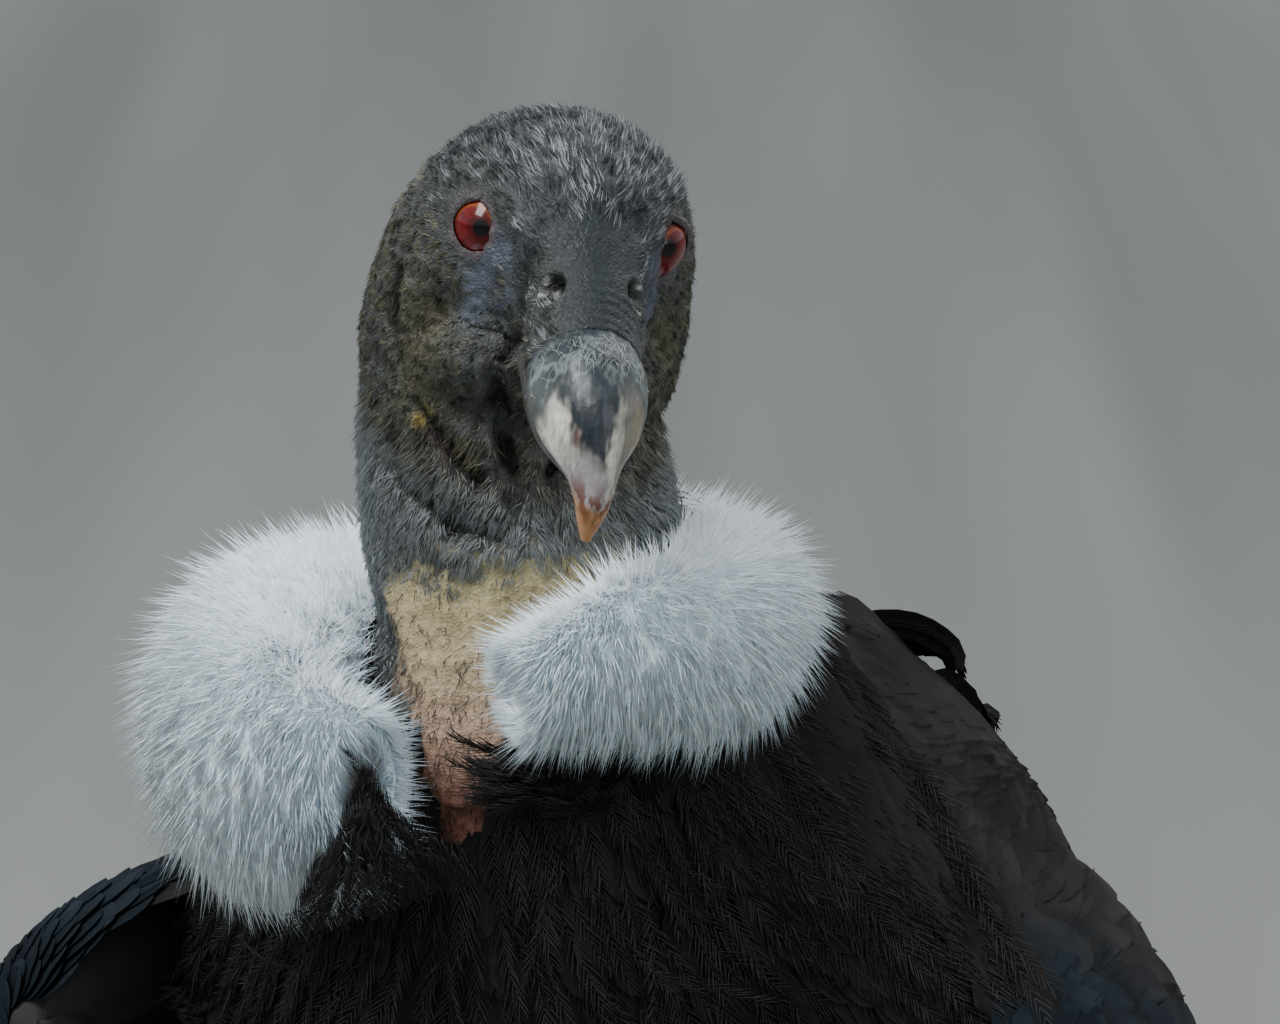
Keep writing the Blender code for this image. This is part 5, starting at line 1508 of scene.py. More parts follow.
def clumped(roots, normal, share, random):
    """For each root, the way to the middle of its clump along the surface, and the clump's own tone."""
    middles = roots[random.choice(len(roots), max(1, len(roots) // share), replace=False)]
    near = nearest(middles, roots)
    inwards = middles[near] - roots
    return inwards - normal * dot(inwards, normal), random.random(len(middles))[near]


def make_bristles(skin, look):
    """Short bristles on head and neck, tufts on the throat's folds and sparse dark ones below."""
    points, tris, t, angle, rise = skin
    random = np.random.default_rng(SEED)
    normals = point_normals(points, tris)
    ragged = throat_edge(points)
    throat = throat_front(t, angle, ragged) * throat_top(t, angle, ragged)
    fur_on_head(points, tris, t, angle, rise, normals, throat, random, look)

    density = 95000.0 * throat * smooth(7.9, 8.1, t) * (0.5 + smooth(9.5, 8.3, t))
    chosen, shares = spread_over(points, tris, density, random)
    roots = at_corners(points, tris, chosen, shares)
    normal = unit(at_corners(normals, tris, chosen, shares))
    corner = tris[chosen, 0]
    count = len(roots)
    down = np.array([0.0, -0.25, -1.0]) + random.normal(0, 0.35, (count, 3))
    down = unit(down - normal * dot(down, normal))
    grow = unit(normal * 0.75 + down * 0.7)
    length = random.uniform(0.003, 0.0085, count)
    patch = flesh_map(t[corner], angle[corner])
    batch = spikes(roots - normal * ROOT_DEPTH, grow, unit(down - normal * 0.25), length, 0.00014, patch, 3)
    dark = np.where(random.random(count)[:, None] < 0.7, HAIR_DARK, HAIR_TAN)
    coat("throat_hairs", shaded(batch, dark, dark * 0.8), look, "neck_skin")


def bare_on_head(points, folded, throat):
    """How much of its bristles a place on the head lacks, by its place on the left side of the head."""
    side, ahead, up = folded.T
    cere = smooth(14, 11, side) * smooth(14, 19, ahead) * smooth(-30, -24, up)
    bare = np.maximum.reduce([cere, smooth(0.0138, 0.0118, from_eyes(points)), throat * 0.996])
    for line, wide, narrow, most in ((HEAD_FORMS["gape"][0], 8.0, 4.0, 0.5), (BARE_PATCH, 6.5, 3.5, 0.85)):
        gap, _ = near_line(folded, line)
        bare = np.maximum(bare, most * smooth(wide, narrow, gap))
    return bare


def fur_on_head(points, tris, t, angle, rise, normals, throat, random, look):
    """The bristles of head and neck, in silvery clumps with dark between them, and olive on the cheeks."""
    local = in_head(points)
    density = BRISTLES * (1 - bare_on_head(points, both_sides(local), throat)) * smooth(8.5, 9.0, t)
    chosen, shares = spread_over(points, tris, density, random)
    roots = at_corners(points, tris, chosen, shares)
    normal = unit(at_corners(normals, tris, chosen, shares))
    place = at_corners(local, tris, chosen, shares)
    folded, up = both_sides(place), place[:, 2]
    corner = tris[chosen, 0]
    station, turn = t[corner], angle[corner]
    count = len(roots)
    lie = lie_on_head(place, normal)
    wild = random.normal(0, 1, (count, 3))
    clump = np.stack([waves(roots, 0.012, 70 + k) for k in range(3)], 1)
    sunk = valley(rise[corner])
    inwards, clump_tone = clumped(roots, normal, 22, random)

    low = smooth(-58, -72, up)
    crown = smooth(2, 14, up)
    face = smooth(16, 8, np.linalg.norm(folded - (16, 18, 2), axis=1) - 6)
    cheeks = smooth(4, -8, up) * (1 - low)
    length = FUR_LENGTH + 0.0008 * crown - 0.0002 * low - 0.0012 * face - 0.0004 * cheeks
    length = length * random.uniform(0.6, 1.35, count)
    fluffy = smooth(9.3, 9.6, station) * smooth(10.6, 10.0, station)
    fluffy = fluffy * smooth(1.9, 1.2, np.abs(wrapped(turn + math.pi / 2)))
    length = (length + 0.0045 * fluffy * random.random(count)) * (1 - 0.35 * sunk)
    inwards = inwards / length[:, None]
    stand = 0.62 + 0.2 * low
    grow = unit(lie + normal * stand[:, None] + wild * 0.14 + clump * (0.10 + 0.06 * low)[:, None])
    bent = unit(lie + normal * 0.10 + clump * (0.14 + 0.08 * low)[:, None] + wild * 0.12)
    grow, bent = grow + inwards * 0.28, bent + inwards * 0.75

    thick = FUR_THICK * random.uniform(0.6, 1.25, count)
    pale = random.random(count)
    # The crown's fur is lighter, partly its own silver and partly painted light from above, and the crown's
    # right side is darker as painted shade
    shaded_crown_side = crown * smooth(-8, -30, place[:, 0])
    patches = 0.20 * waves(roots, 0.009, 81) + 0.16 * crown - 0.22 * shaded_crown_side
    # Fur deep in folds is darker: painted shade
    patches = patches + 0.62 * low + 0.28 * cheeks - 0.26 * sunk
    hold = smooth(0.52, 0.98, 0.55 * pale + 0.45 * clump_tone + patches)
    thick = thick * (0.85 + 0.5 * hold)
    batch = spikes(roots - normal * ROOT_DEPTH, grow, bent, length, thick, flesh_map(station, turn), 1)
    light = toward(FUR_SILVER, FUR_OLIVE, cheeks)
    hold = hold * (1 - 0.85 * bell(np.linalg.norm(folded - (12, 13, 18), axis=1), 0, 8))
    # Fur along the bill's side crease is darker: painted shade
    beside_bill, _ = near_line(folded, HEAD_FORMS["bill_side"][0])
    hold = hold * (1 - 0.95 * smooth(4.2, 2.0, beside_bill))
    tip_colour = FUR_DARK * 1.3 + (light - FUR_DARK) * hold[:, None]
    coat("bristles", shaded(batch, toward(FUR_DARK, light * 0.5, hold), tip_colour), look, "head_skin")


def make_ruff(look):
    """The collar: on each side a soft core, and long fine down over it that stands out at its edge."""
    for side in SIDES:
        surface = ruff_surface(side)
        last = len(RUFF_STATIONS[side]) - 1.0
        rows, around = 90, 72
        ts = np.linspace(0.0, last + 0.995, rows)
        points, tris = grid_mesh(partial(surface, reach=RUFF_CORE), ts, around)
        lumps = 0.0010 * waves(points, 0.020, 91) + 0.0004 * waves(points, 0.006, 92)
        points = points + point_normals(points, tris) * lumps[:, None]
        along, turn = np.meshgrid(np.linspace(0, 1, rows), np.arange(around) / around, indexing="ij")
        uv = np.concatenate([columns(turn.ravel(), along.ravel()), [[0.5, 0.0], [0.5, 1.0]]])
        tint = np.tile(DOWN_CORE, (len(points), 1))
        piece(f"ruff_core_{side}", points, tris, look, "down", [f"ruff_{side}"], uv, tint)
        coat(f"ruff_down_{side}", down_fibres(surface, last, np.random.default_rng(SEED)), look, "down")


def down_fibres(surface, last, random):
    """The down over half of the collar, whose last station is given."""
    t = random.random(DOWN_FIBRES) * (last + 0.99)
    angle = random.uniform(0, TURN, DOWN_FIBRES)
    shown = np.interp(t, [0, 0.6, 1.2, last, last + 0.9], [0.6, 0.85, 1, 1.0, 0.75])
    keep = random.random(DOWN_FIBRES) < shown
    t, angle = t[keep], angle[keep]
    count = len(t)
    reach = RUFF_CORE - 0.05 + 0.05 * random.random(count)
    roots = surface(t, angle, reach)
    flow = unit(surface(t + 0.03, angle, reach) - surface(np.maximum(t - 0.03, 0), angle, reach))
    round_way = unit(surface(t, angle - 0.06, reach) - surface(t, angle + 0.06, reach))
    out = unit(np.cross(flow, round_way))
    out = out * np.sign(dot(out, roots - surface(np.maximum(t - 0.6, 0), angle, 0.0)))
    down = -UPWARDS - out * out[:, 2:]
    tuft = np.stack([waves(roots, 0.010, 93 + k, 2) for k in range(3)], 1)
    wild = random.normal(0, 1, (count, 3))
    inwards, _ = clumped(roots, out, 60, random)
    wisp = random.random(count) < 0.12
    end = smooth(last - 0.3, last + 0.25, t)[:, None]
    lay = (round_way * 0.55 + down * 0.45) * (1 - end) + flow * (0.20 + 0.9 * end)
    lay = lay + tuft * (0.34 - 0.16 * end)
    lay = unit(lay - out * dot(lay, out))
    stand = np.where(wisp, random.uniform(0.8, 1.5, count), random.uniform(0.20, 0.50, count))[:, None]
    depth = np.linalg.norm(surface(t, angle, 1.0) - roots, axis=1)
    length = np.minimum((depth + 0.004) * random.uniform(0.7, 1.15, count), DOWN_LONGEST) + 0.004 * end[:, 0]
    length = length + wisp * random.uniform(0.0, 0.0065, count)
    grow = unit(lay + out * stand + wild * 0.10) + inwards / length[:, None] * 0.34
    thick = DOWN_THICK * random.uniform(0.6, 1.2, count)
    batch = spikes(roots, grow, grow, length, thick, columns(angle / TURN, t / 5), 1)
    white = DOWN_WHITE * (1 + 0.05 * waves(roots, 0.03, 99)[:, None])
    # Each fibre's root is a little darker than its tip: painted shade deep in the down
    return shaded(batch, white * 0.98, white)


def flesh_pace(t, angle, amount):
    """How many stations of the flesh the given metres are."""
    return amount * 0.05 / np.linalg.norm(flesh(t + 0.05, angle) - flesh(t, angle), axis=-1)


def browned(share):
    """Plumage between black and brown."""
    return toward(BLACK, BROWN, share)


def body_feathers(random):
    """Contour feathers from the collar to the tail, in rows that overlap like tiles."""
    batches = []
    angles = np.arange(0, TURN, 0.02)
    t, row = 8.6, 0
    while t > 0.25:
        size = float(np.interp(t, [0, 2, 5, 7.7, 8.6], [0.036, 0.042, 0.036, 0.026, 0.020]))
        step = float(np.interp(t, [0, 2, 5, 7.7], [0.0125, 0.0140, 0.0110, 0.0075]))
        round_it = np.linalg.norm(np.diff(flesh(t, angles), axis=0), axis=1)
        passed = np.concatenate([[0], np.cumsum(round_it)])
        count = int(passed[-1] / (size * 0.30))
        at = (np.arange(count) + 0.5 * (row % 2) + random.uniform(-0.25, 0.25, count)) / count
        angle = np.interp(at % 1.0 * passed[-1], passed, angles)
        stations = t + random.uniform(-0.05, 0.05, count)
        under_wing = (np.abs(np.cos(angle)) > 0.80) & (stations < 5.4) & (row % 2 == 1)
        keep = (bare_front(stations + 0.12, angle) < 0.5) & ~under_wing
        angle, stations = angle[keep], stations[keep]
        count = len(angle)
        if count:
            length = size * random.uniform(0.85, 1.15, count)
            end = np.maximum(stations - flesh_pace(stations, angle, length), -0.35)
            swing = random.normal(0, 0.05, count) - 0.10 * np.cos(angle) * (np.sin(angle) < 0)
            root, tip = columns(stations, angle), columns(end, angle + swing)
            high = random.uniform(-0.0040, -0.0030, count) + 0.0016 * (np.sin(angle) > 0)
            half = size * 0.27 * random.uniform(0.85, 1.15, count)
            patch = flesh_map(stations, angle)
            batch = feathers(flesh, root, tip, half, (-0.0062, high), patch, camber=0.07)
            warm = np.clip(0.5 + 0.5 * waves(flesh(stations, angle), 0.09, 111), 0, 1)
            base = browned(warm * (np.sin(angle) > 0.1) * 0.8 + random.uniform(0, 0.25, count))
            batches.append(shaded(batch, base * 0.75, base * random.uniform(0.8, 1.5, count)[:, None]))
        t -= float(flesh_pace(np.array(t), np.array(0.9), step))
        row += 1
    return merged(batches)


def plumes(surface, root, tip, lift, barb, patch, random, steps=14, spread=0.62, stand=0.25, thick=0.00036):
    """Soft comb-like feathers: a bare shaft along a surface with curved barbs, a batch for either side.

    barb is how long the barbs are, and lift how far the shaft lies off the surface at root and tip.
    """
    count = len(root)
    s = np.linspace(0.04, 0.97, steps)
    centre, normal, ahead, side = laid_lines(surface, root, tip, *lift, s)
    envelope = np.interp(s, [0, 0.2, 0.6, 1.0], [0.7, 1.0, 0.95, 0.55])
    batches = []
    for sign in (1.0, -1.0):
        wild = random.normal(0, 0.08, (count, steps, 3))
        hook = random.normal(0.25, 0.18, (count, 1, 1)) * sign
        open_it = spread * random.uniform(0.75, 1.2, (count, 1, 1)) * (1 - 0.35 * s[None, :, None])
        grow = unit(ahead + side * sign * open_it * 1.35 + normal * stand + wild)
        bent = unit(ahead + side * (sign * open_it * 0.25 + hook * 0.4) - normal * stand * 0.8 + wild)
        long = barb[:, None] * envelope * random.uniform(0.75, 1.15, (count, steps))
        wide = thick * random.uniform(0.7, 1.2, (count, steps))
        routes = [values.reshape(count * steps, 3) for values in (centre, grow, bent)]
        spot = np.repeat(patch, steps, 0)
        batches.append(spikes(*routes, long.ravel(), wide.ravel(), spot, 2, 0.45))
    return batches


def toned(batches, tone):
    """Plumes as one batch, each in its own tone of black."""
    steps = (batches[0]["owner"].max() + 1) // len(tone)
    dark = BLACK * np.repeat(tone, steps)[:, None]
    return merged([shaded(batch, dark * 0.6, dark * 1.3) for batch in batches])


def chest_plumes(random):
    """The hair-like feathers of chest and throat, from under the collar to the belly."""
    t, angle = [], []
    for station in np.arange(4.3, 8.6, 0.125):
        wide = np.interp(station, [4.3, 6.0, 7.0, 8.6], [1.35, 1.55, 1.9, 2.2])
        count = int(np.interp(station, [4.3, 6.0, 7.75, 8.6], [26, 28, 30, 26]))
        places = np.linspace(-wide, wide, count) + random.uniform(-0.04, 0.04, count)
        t.append(station + random.uniform(-0.05, 0.05, count))
        angle.append(places - math.pi / 2)
    t, angle = np.concatenate(t), np.concatenate(angle)
    keep = bare_front(t + 0.05, angle) < 0.5
    t, angle = t[keep], angle[keep]
    count = len(t)
    long = np.interp(t, [4.3, 7, 8.6], [0.030, 0.027, 0.020]) * random.uniform(0.8, 1.2, count)
    swing = (np.sign(angle + math.pi / 2) * 0.06 + random.normal(0, 0.10, count)) * smooth(9.0, 7.5, t)
    root, tip = columns(t, angle), columns(t - flesh_pace(t, angle, long), angle + swing)
    lift = (random.uniform(-0.0045, -0.0030, count), random.uniform(-0.0015, 0.0015, count))
    barb = random.uniform(0.009, 0.014, count)
    combs = plumes(flesh, root, tip, lift, barb, flesh_map(t, angle), random)
    return toned(combs, random.uniform(0.5, 1.7, count))


# Tufts that stand up over the collar's lower edges: the middle of each group on the flesh as a station and
# degrees, how far it spreads both ways, which way and how far it points, and how many
COLLAR_TUFTS = [
    ((8.10, -110.0), (0.10, 6.0), (0.30, -10.0), 9),
    ((8.34, -64.0), (0.12, 8.0), (0.30, -20.0), 20),
    ((8.20, -46.0), (0.14, 10.0), (0.34, -12.0), 18),
    ((8.05, -28.0), (0.14, 10.0), (0.34, 4.0), 16),
]
# The upright tuft in front of the right collar: its foot's two ends and its peak, in metres to the viewer's
# right and up from the collar's end, how far in front of it, and its rows with how many are in each
WEDGE_STATION = 4.95
WEDGE_NEAR = 0.0165
WEDGE_FOOT = ((-0.020, -0.036), (0.030, -0.024))
WEDGE_PEAK = (0.0015, 0.0060)
WEDGE_ROWS = [(-0.06, 26), (0.18, 22), (0.42, 16), (0.66, 10)]


def wedge_tuft(random):
    """The upright tuft in front of the end of the right collar, wide at its foot and pointed at its top."""
    turn = math.radians(CAMERA_AZIMUTH)
    aside = np.array([math.cos(turn), math.sin(turn), 0.0])
    facing = np.array([aside[1], -aside[0], 0.0])
    middle = ruff_surface("right")(WEDGE_STATION, 0.0)

    def surface(x, z, lift=0.0):
        x, z, lift = np.broadcast_arrays(x, z, lift)
        near = WEDGE_NEAR - 0.40 * np.maximum(x, 0.0) - 0.12 * np.maximum(-0.014 - z, 0.0) + lift
        return middle + aside * x[..., None] + UPWARDS * z[..., None] + facing * near[..., None]

    left, right, peak = np.array([*WEDGE_FOOT, WEDGE_PEAK])
    root, tip = [], []
    for high, count in WEDGE_ROWS:
        across = (np.arange(count) + random.uniform(0.2, 0.8, count))[:, None] / count
        foot = left + (right - left) * across
        start = foot + (peak - foot) * (high + random.normal(0, 0.03, (count, 1)))
        end = start + (peak - foot) * random.uniform(0.34, 0.46, (count, 1))
        root.append(start)
        tip.append(end + random.normal(0, 0.0012, (count, 2)))
    root, tip = np.concatenate(root), np.concatenate(tip)
    count = len(root)
    lift = (random.uniform(-0.004, -0.002, count), random.uniform(-0.001, 0.003, count))
    barb = random.uniform(0.006, 0.009, count)
    combs = plumes(surface, root, tip, lift, barb, root + (0.3, 0.4), random, 18, 0.5, 0.12)
    return toned(combs, random.uniform(0.5, 1.4, count))


def collar_tufts(random):
    """Groups of upturned black plumes in front of the white collar's lower edges."""
    batches = [wedge_tuft(random)]
    degree = (1, math.radians(1))
    for (station, turn), (tall, wide), (up, aside), count in COLLAR_TUFTS:
        high, round_it = random.normal(station, tall * 0.6, count), random.normal(turn, wide * 0.6, count)
        start = columns(high, round_it)
        reach = random.uniform(0.6, 1.15, (count, 1))
        end = start + np.array([up, aside]) * reach + random.normal(0, 1, (count, 2)) * (0.03, 3.5)
        root, tip = start * degree, end * degree
        lift = (random.uniform(0.0, 0.003, count), random.uniform(0.009, 0.017, count))
        barb = random.uniform(0.010, 0.015, count)
        combs = plumes(flesh, root, tip, lift, barb, flesh_map(*root.T), random, 18, 0.62, 0.15, 0.00030)
        batches.append(toned(combs, random.uniform(0.5, 1.4, count)))
    return merged(batches)


def apron_surface(side):
    """The slope between breast and shoulder: q from the neck down, u from the breast to the shoulder."""
    shoulder = shoulder_surface(side)
    angle = -0.30 if side == "left" else math.pi + 0.30
    edge_at = 0.03 if side == "left" else 0.17
    facing = unit(np.array([0.38 * mirrored(side), -0.85, 0.33]))

    def surface(q, u, lift=0.0):
        q, u, lift = np.broadcast_arrays(q, u, lift)
        edge = shoulder(edge_at, q)
        inner = flesh(np.interp(q, [0.0, 1.1], [8.2, 5.7]), angle, -0.003)
        bulge = 0.010 * np.sin(math.pi * np.clip(u, 0, 1)) + lift
        return inner + (edge - inner) * u[..., None] + facing * bulge[..., None]

    return surface


def apron(side, random):
    """Vanes and plumes between the breast and the shoulder, which close the hollow in front of the wing."""
    surface = apron_surface(side)
    wide, tall = (1.25, 0.92) if side == "left" else (1.0, 1.10)
    q, u = jittered(random, 15, 11, 0.3)
    q, u = q * tall - 0.02, u * wide - 0.12
    count = len(q)
    tip = columns(q + 0.22, u + random.normal(0.04, 0.03, count))
    patch = columns(q * 0.3 + 0.3, u * 0.2 + 0.3)
    lift = (-0.0040, random.uniform(-0.0022, -0.0012, count))
    vanes = feathers(surface, columns(q, u), tip, 0.0090, lift, patch, camber=0.06)
    base = browned(random.uniform(0.0, 0.5, count) + 0.4 * u)
    vanes = shaded(vanes, base * 0.8, base * 1.2)
    q, u = jittered(random, 17, 12, 0.4)
    q, u = q * tall - 0.06, u * (wide + 0.05) - 0.10
    count = len(q)
    tip = columns(q + random.uniform(0.14, 0.24, count), u + random.normal(0.03, 0.05, count))
    patch = columns(q * 0.3 + 0.3, u * 0.2 + 0.3)
    lift = (random.uniform(-0.003, -0.001, count), random.uniform(-0.001, 0.002, count))
    barb = random.uniform(0.010, 0.015, count)
    combs = plumes(surface, columns(q, u), tip, lift, barb, patch, random)
    return vanes, toned(combs, random.uniform(0.6, 1.8, count) * (1 + 0.5 * np.clip(u, 0, 1)))


def nearest_station(y, angle):
    """The station of the flesh that has a given y at an angle."""
    ts = np.linspace(0.0, 8.5, 86)
    ys = flesh(ts, angle)[:, 1]
    order = np.argsort(ys)
    return np.interp(y, ys[order], ts[order])


def shoulder_surface(side):
    """The feathered slope between the back and the wing: p from front to rear, q from back to wing."""
    wing = wing_surface(side)
    back_angle = 1.02 if side == "left" else math.pi - 1.02
    ys = np.linspace(-0.125, 0.20, 40)
    body_t = nearest_station(ys, back_angle)
    edge_y = [top[1] for _, top, *_ in WING_STATIONS]
    wing_t = np.interp(ys, edge_y, np.arange(len(edge_y)))
    share = np.linspace(0, 1, 40)

    def surface(p, q, lift=0.0):
        p, q, lift = np.broadcast_arrays(p, q, lift)
        inner = flesh(np.interp(p, share, body_t), back_angle)
        outer = wing(np.interp(p, share, wing_t), 0.13)
        ends = unit(np.cross(outer - inner, np.array([0.0, 1.0, 0.0]))) * -mirrored(side)
        ends = ends * np.sign(ends[..., 2:3] + 1e-9)
        bulge = 0.007 * np.sin(math.pi * np.clip(q, 0, 1)) + lift
        return inner + (outer - inner) * q[..., None] + ends * bulge[..., None]

    return surface


def scapulars(side, random):
    """The feathers of the shoulder, which lie over the wing's upper edge."""
    p, q = jittered(random, 30, 15, 0.3)
    p = p - 0.04 if side == "left" else p * 0.84 + 0.12
    q = q * 1.22 - 0.12
    count = len(p)
    tip = columns(p + (0.12 + 0.05 * p), q + random.normal(0.01, 0.012, count))
    patch = columns(p * 0.4 + 0.1, q * 0.3 + 0.1)
    lift = (-0.0020, random.uniform(-0.0004, 0.0002, count))
    half = 0.0125 + 0.003 * p
    surface = shoulder_surface(side)
    batch = feathers(surface, columns(p, q), tip, half, lift, patch, POINTED, SHAFT_ACROSS, 0.05)
    base = browned(random.uniform(0.1, 0.9, count))
    return shaded(batch, base * 0.95, base * 1.06)


# The tiers of the wing: how many feathers, the station of their roots and the part of the width that these
# take, the stations of the first, middle and last tip and the part that the tips take, how far the tier lies
# over the arm at roots and tips in millimetres, and how wide a feather is against its share of the width
WING_ROWS = [
    ("primaries", 9, 5.3, (0.50, 0.93), (9.9, 11.0, 10.2), (0.15, 0.95), (0.5, 1.8), 1.25),
    ("secondaries", 19, 4.0, (0.08, 0.84), (9.1, 8.6, 7.7), (0.04, 0.70), (0.5, 4.0), 1.6),
    ("greater_coverts", 21, 2.9, (0.06, 0.93), (6.3, 6.1, 5.7), (0.05, 0.94), (0.5, 6.4), 1.65),
    ("median_coverts", 20, 2.1, (0.06, 0.92), (4.5, 4.3, 4.0), (0.06, 0.93), (0.5, 7.2), 1.7),
]


def arm_surface(side):
    """The arm of a folded wing, which lies under the wing's outer form."""
    wing = wing_surface(side)
    return lambda t, v, lift=0.0: wing(t, v, lift - arm_sink(t))


def wing_row(side, row, random):
    """One tier of long feathers of a folded wing."""
    name, count, start, root_span, tips, tip_span, over, overlap = row
    surface = arm_surface(side)
    x = (np.arange(count) + 0.5) / count
    bulge = tips[1] - (tips[0] + tips[2]) / 2
    end = tips[0] + (tips[2] - tips[0]) * x + bulge * 4 * x * (1 - x) + random.uniform(-0.08, 0.08, count)
    first = root_span[0] + (root_span[1] - root_span[0]) * x
    second = tip_span[0] + (tip_span[1] - tip_span[0]) * x
    middle = surface((start + end) / 2, (first + second) / 2)
    beside = surface((start + end) / 2, (first + second) / 2 + 0.02)
    lane = (root_span[1] - root_span[0] + tip_span[1] - tip_span[0]) / 2 / count
    half = np.linalg.norm(beside - middle, axis=-1) / 0.02 * lane / 2 * overlap
    root, tip = columns(np.full(count, start), first), columns(end, second)
    patch = columns(root[:, 1] * 0.5, root[:, 0] / 12)
    lift = (over[0] * MM, over[1] * MM + 0.0004 * (np.arange(count) % 2))
    outline = LONG if name in ("primaries", "secondaries") else BLUNT
    batch = feathers(surface, root, tip, half, lift, patch, outline, SHAFT_ACROSS, 0.14)
    share, edge = batch["share"], smooth(0.25, 0.9, batch["edge"])
    if name == "secondaries":
        base = np.tile(BLACK, (count, 1))
        shaded(batch, base, base * 1.3)
        web = smooth(0.10, 0.35, share) * smooth(0.97, 0.86, share)
        batch["tint"] = toward(batch["tint"], PALE, web * edge, 0.75)
    elif name == "greater_coverts":
        # Black with a painted blue sheen
        base = SHEEN_BLUE * random.uniform(0.8, 1.3, count)[:, None]
        shaded(batch, base, base * 1.2)
        batch["tint"] = toward(batch["tint"], PALE * 0.9, smooth(0.72, 0.86, share), 0.7)
    else:
        # Black with a painted blue sheen
        base = SHEEN_BLUE * random.uniform(0.8, 1.4, count)[:, None]
        shaded(batch, base * 0.9, base * 1.3)
    return batch


def lesser_coverts(side, random):
    """The small feathers in rows over the front of the folded wing."""
    t, v = jittered(random, 15, 17, 0.28)
    t, v = t**1.1 * 3.3 - 0.05, v * 1.04 - 0.02
    count = len(t)
    places = [0, 1, 3.3]
    tip = columns(t + np.interp(t, places, [0.55, 0.75, 1.05]), v + random.normal(0, 0.012, count))
    half = np.interp(t, places, [0.0065, 0.0088, 0.0115]) * random.uniform(0.9, 1.15, count)
    high = np.interp(t, places, [0.002, 0.0050, 0.0088]) + random.uniform(-0.0003, 0.0003, count)
    lift = (high - np.interp(t, places, [0.0022, 0.0024, 0.0030]), high)
    patch = columns(v * 0.5, np.maximum(t, 0) / 12)
    surface, root = arm_surface(side), columns(t, v)
    batch = feathers(surface, root, tip, half, lift, patch, BLUNT, SHAFT_ACROSS, 0.05)
    upper = smooth(0.52, 0.40, v + random.normal(0, 0.03, count)) * smooth(1.75, 2.15, t - 5.0 * (v - 0.14))
    # Black with a painted blue sheen
    base = SHEEN_BLUE * random.uniform(0.7, 1.3, count)[:, None]
    base = toward(base, browned(random.uniform(0.1, 0.8, count)), upper)
    return shaded(batch, base * 0.8, base * 1.3)


def wing_arm(side):
    """The arm of the folded wing under its feathers."""
    wing = wing_surface(side)
    ts = np.linspace(0.0, 9.5, 60)
    spread = np.linspace(0.03, 0.97, 22)
    thick = spline([row[4:] for row in WING_STATIONS], ts)[:, 0]
    sink = arm_sink(ts) + 0.0012
    deep = np.maximum(thick, sink + 0.003)
    outer = wing(ts[:, None], spread[None, :], -sink[:, None])
    inner = wing(ts[:, None], spread[None, ::-1], -deep[:, None])
    ring = np.concatenate([outer, inner], 1)
    return grid_mesh(lambda t, angle: ring, np.arange(len(ts)), ring.shape[1])


def make_wings(look, under_look, back_look):
    """Both folded wings, in tiers of feathers over the arm."""
    for side in SIDES:
        random = np.random.default_rng(SEED)
        points, tris = wing_arm(side)
        uv = columns(points[:, 2], points[:, 1] + 0.5)
        tint = np.tile(BLACK, (len(points), 1))
        piece(f"wing_arm_{side}", points, tris, under_look, "feathers", [f"wing_{side}"], uv, tint)
        rows = [wing_row(side, row, random) for row in WING_ROWS]
        coat(f"wing_feathers_{side}", merged(rows), look, "feathers")
        coat(f"wing_coverts_{side}", lesser_coverts(side, random), back_look, "feathers")
        coat(f"scapulars_{side}", scapulars(side, random), back_look, "feathers")


def make_tail(look, under_look):
    """Twelve long feathers with the coverts over and under their roots."""
    random = np.random.default_rng(SEED)

    def core(t, angle):
        share, wide, high = np.moveaxis(spline(TAIL_CORE, t), -1, 0)
        return tail_surface(share, np.cos(angle) * wide, np.sin(angle) * high)

    points, tris = grid_mesh(core, np.linspace(0, 3, 24), 36)
    uv = columns(points[:, 0] + 0.5, points[:, 1])
    tint = np.tile(BLACK, (len(points), 1))
    piece("tail_root", points, tris, under_look, "feathers", ["tail"], uv, tint)
    batches = []
    for pair in range(6):
        for sign in (1.0, -1.0):
            start = 0.003 + 0.0042 * pair
            root = np.array([[0.04, sign * start]])
            far = np.array([[1.0 - 0.0022 * (pair + 1) ** 2, sign * (0.008 + 0.0110 * pair)]])
            lift = 0.0052 - 0.0015 * pair + (0.0004 if sign > 0 else 0.0)
            patch = np.array([[0.5 + sign * start, 0.9]])
            batch = feathers(tail_surface, root, far, 0.0205, (lift, lift), patch, LONG, SHAFT_ACROSS, 0.05)
            batches.append(shaded(batch, BLACK * 0.9, BLACK * 1.2))
    for row, (share, count, size) in enumerate(TAIL_COVERTS):
        place = (np.arange(count) - (count - 1) / 2) * 0.0095
        root = columns(np.full(count, share), place * 0.85)
        far = columns(share + size - np.abs(place) * 1.5, place * 1.1)
        patch = columns(0.5 + place, np.full(count, 0.95))
        for under in (1.0, -1.0):
            lift = ((0.0225 - 0.35 * np.abs(place)) * under, (0.0088 + 0.002 * row) * under)
            batch = feathers(tail_surface, root, far, 0.0105, lift, patch, camber=0.1 * under)
            batches.append(shaded(batch, BLACK * 0.9, BLACK * random.uniform(0.9, 1.5, count)[:, None]))
    coat("tail_feathers", merged(batches), look, "feathers")


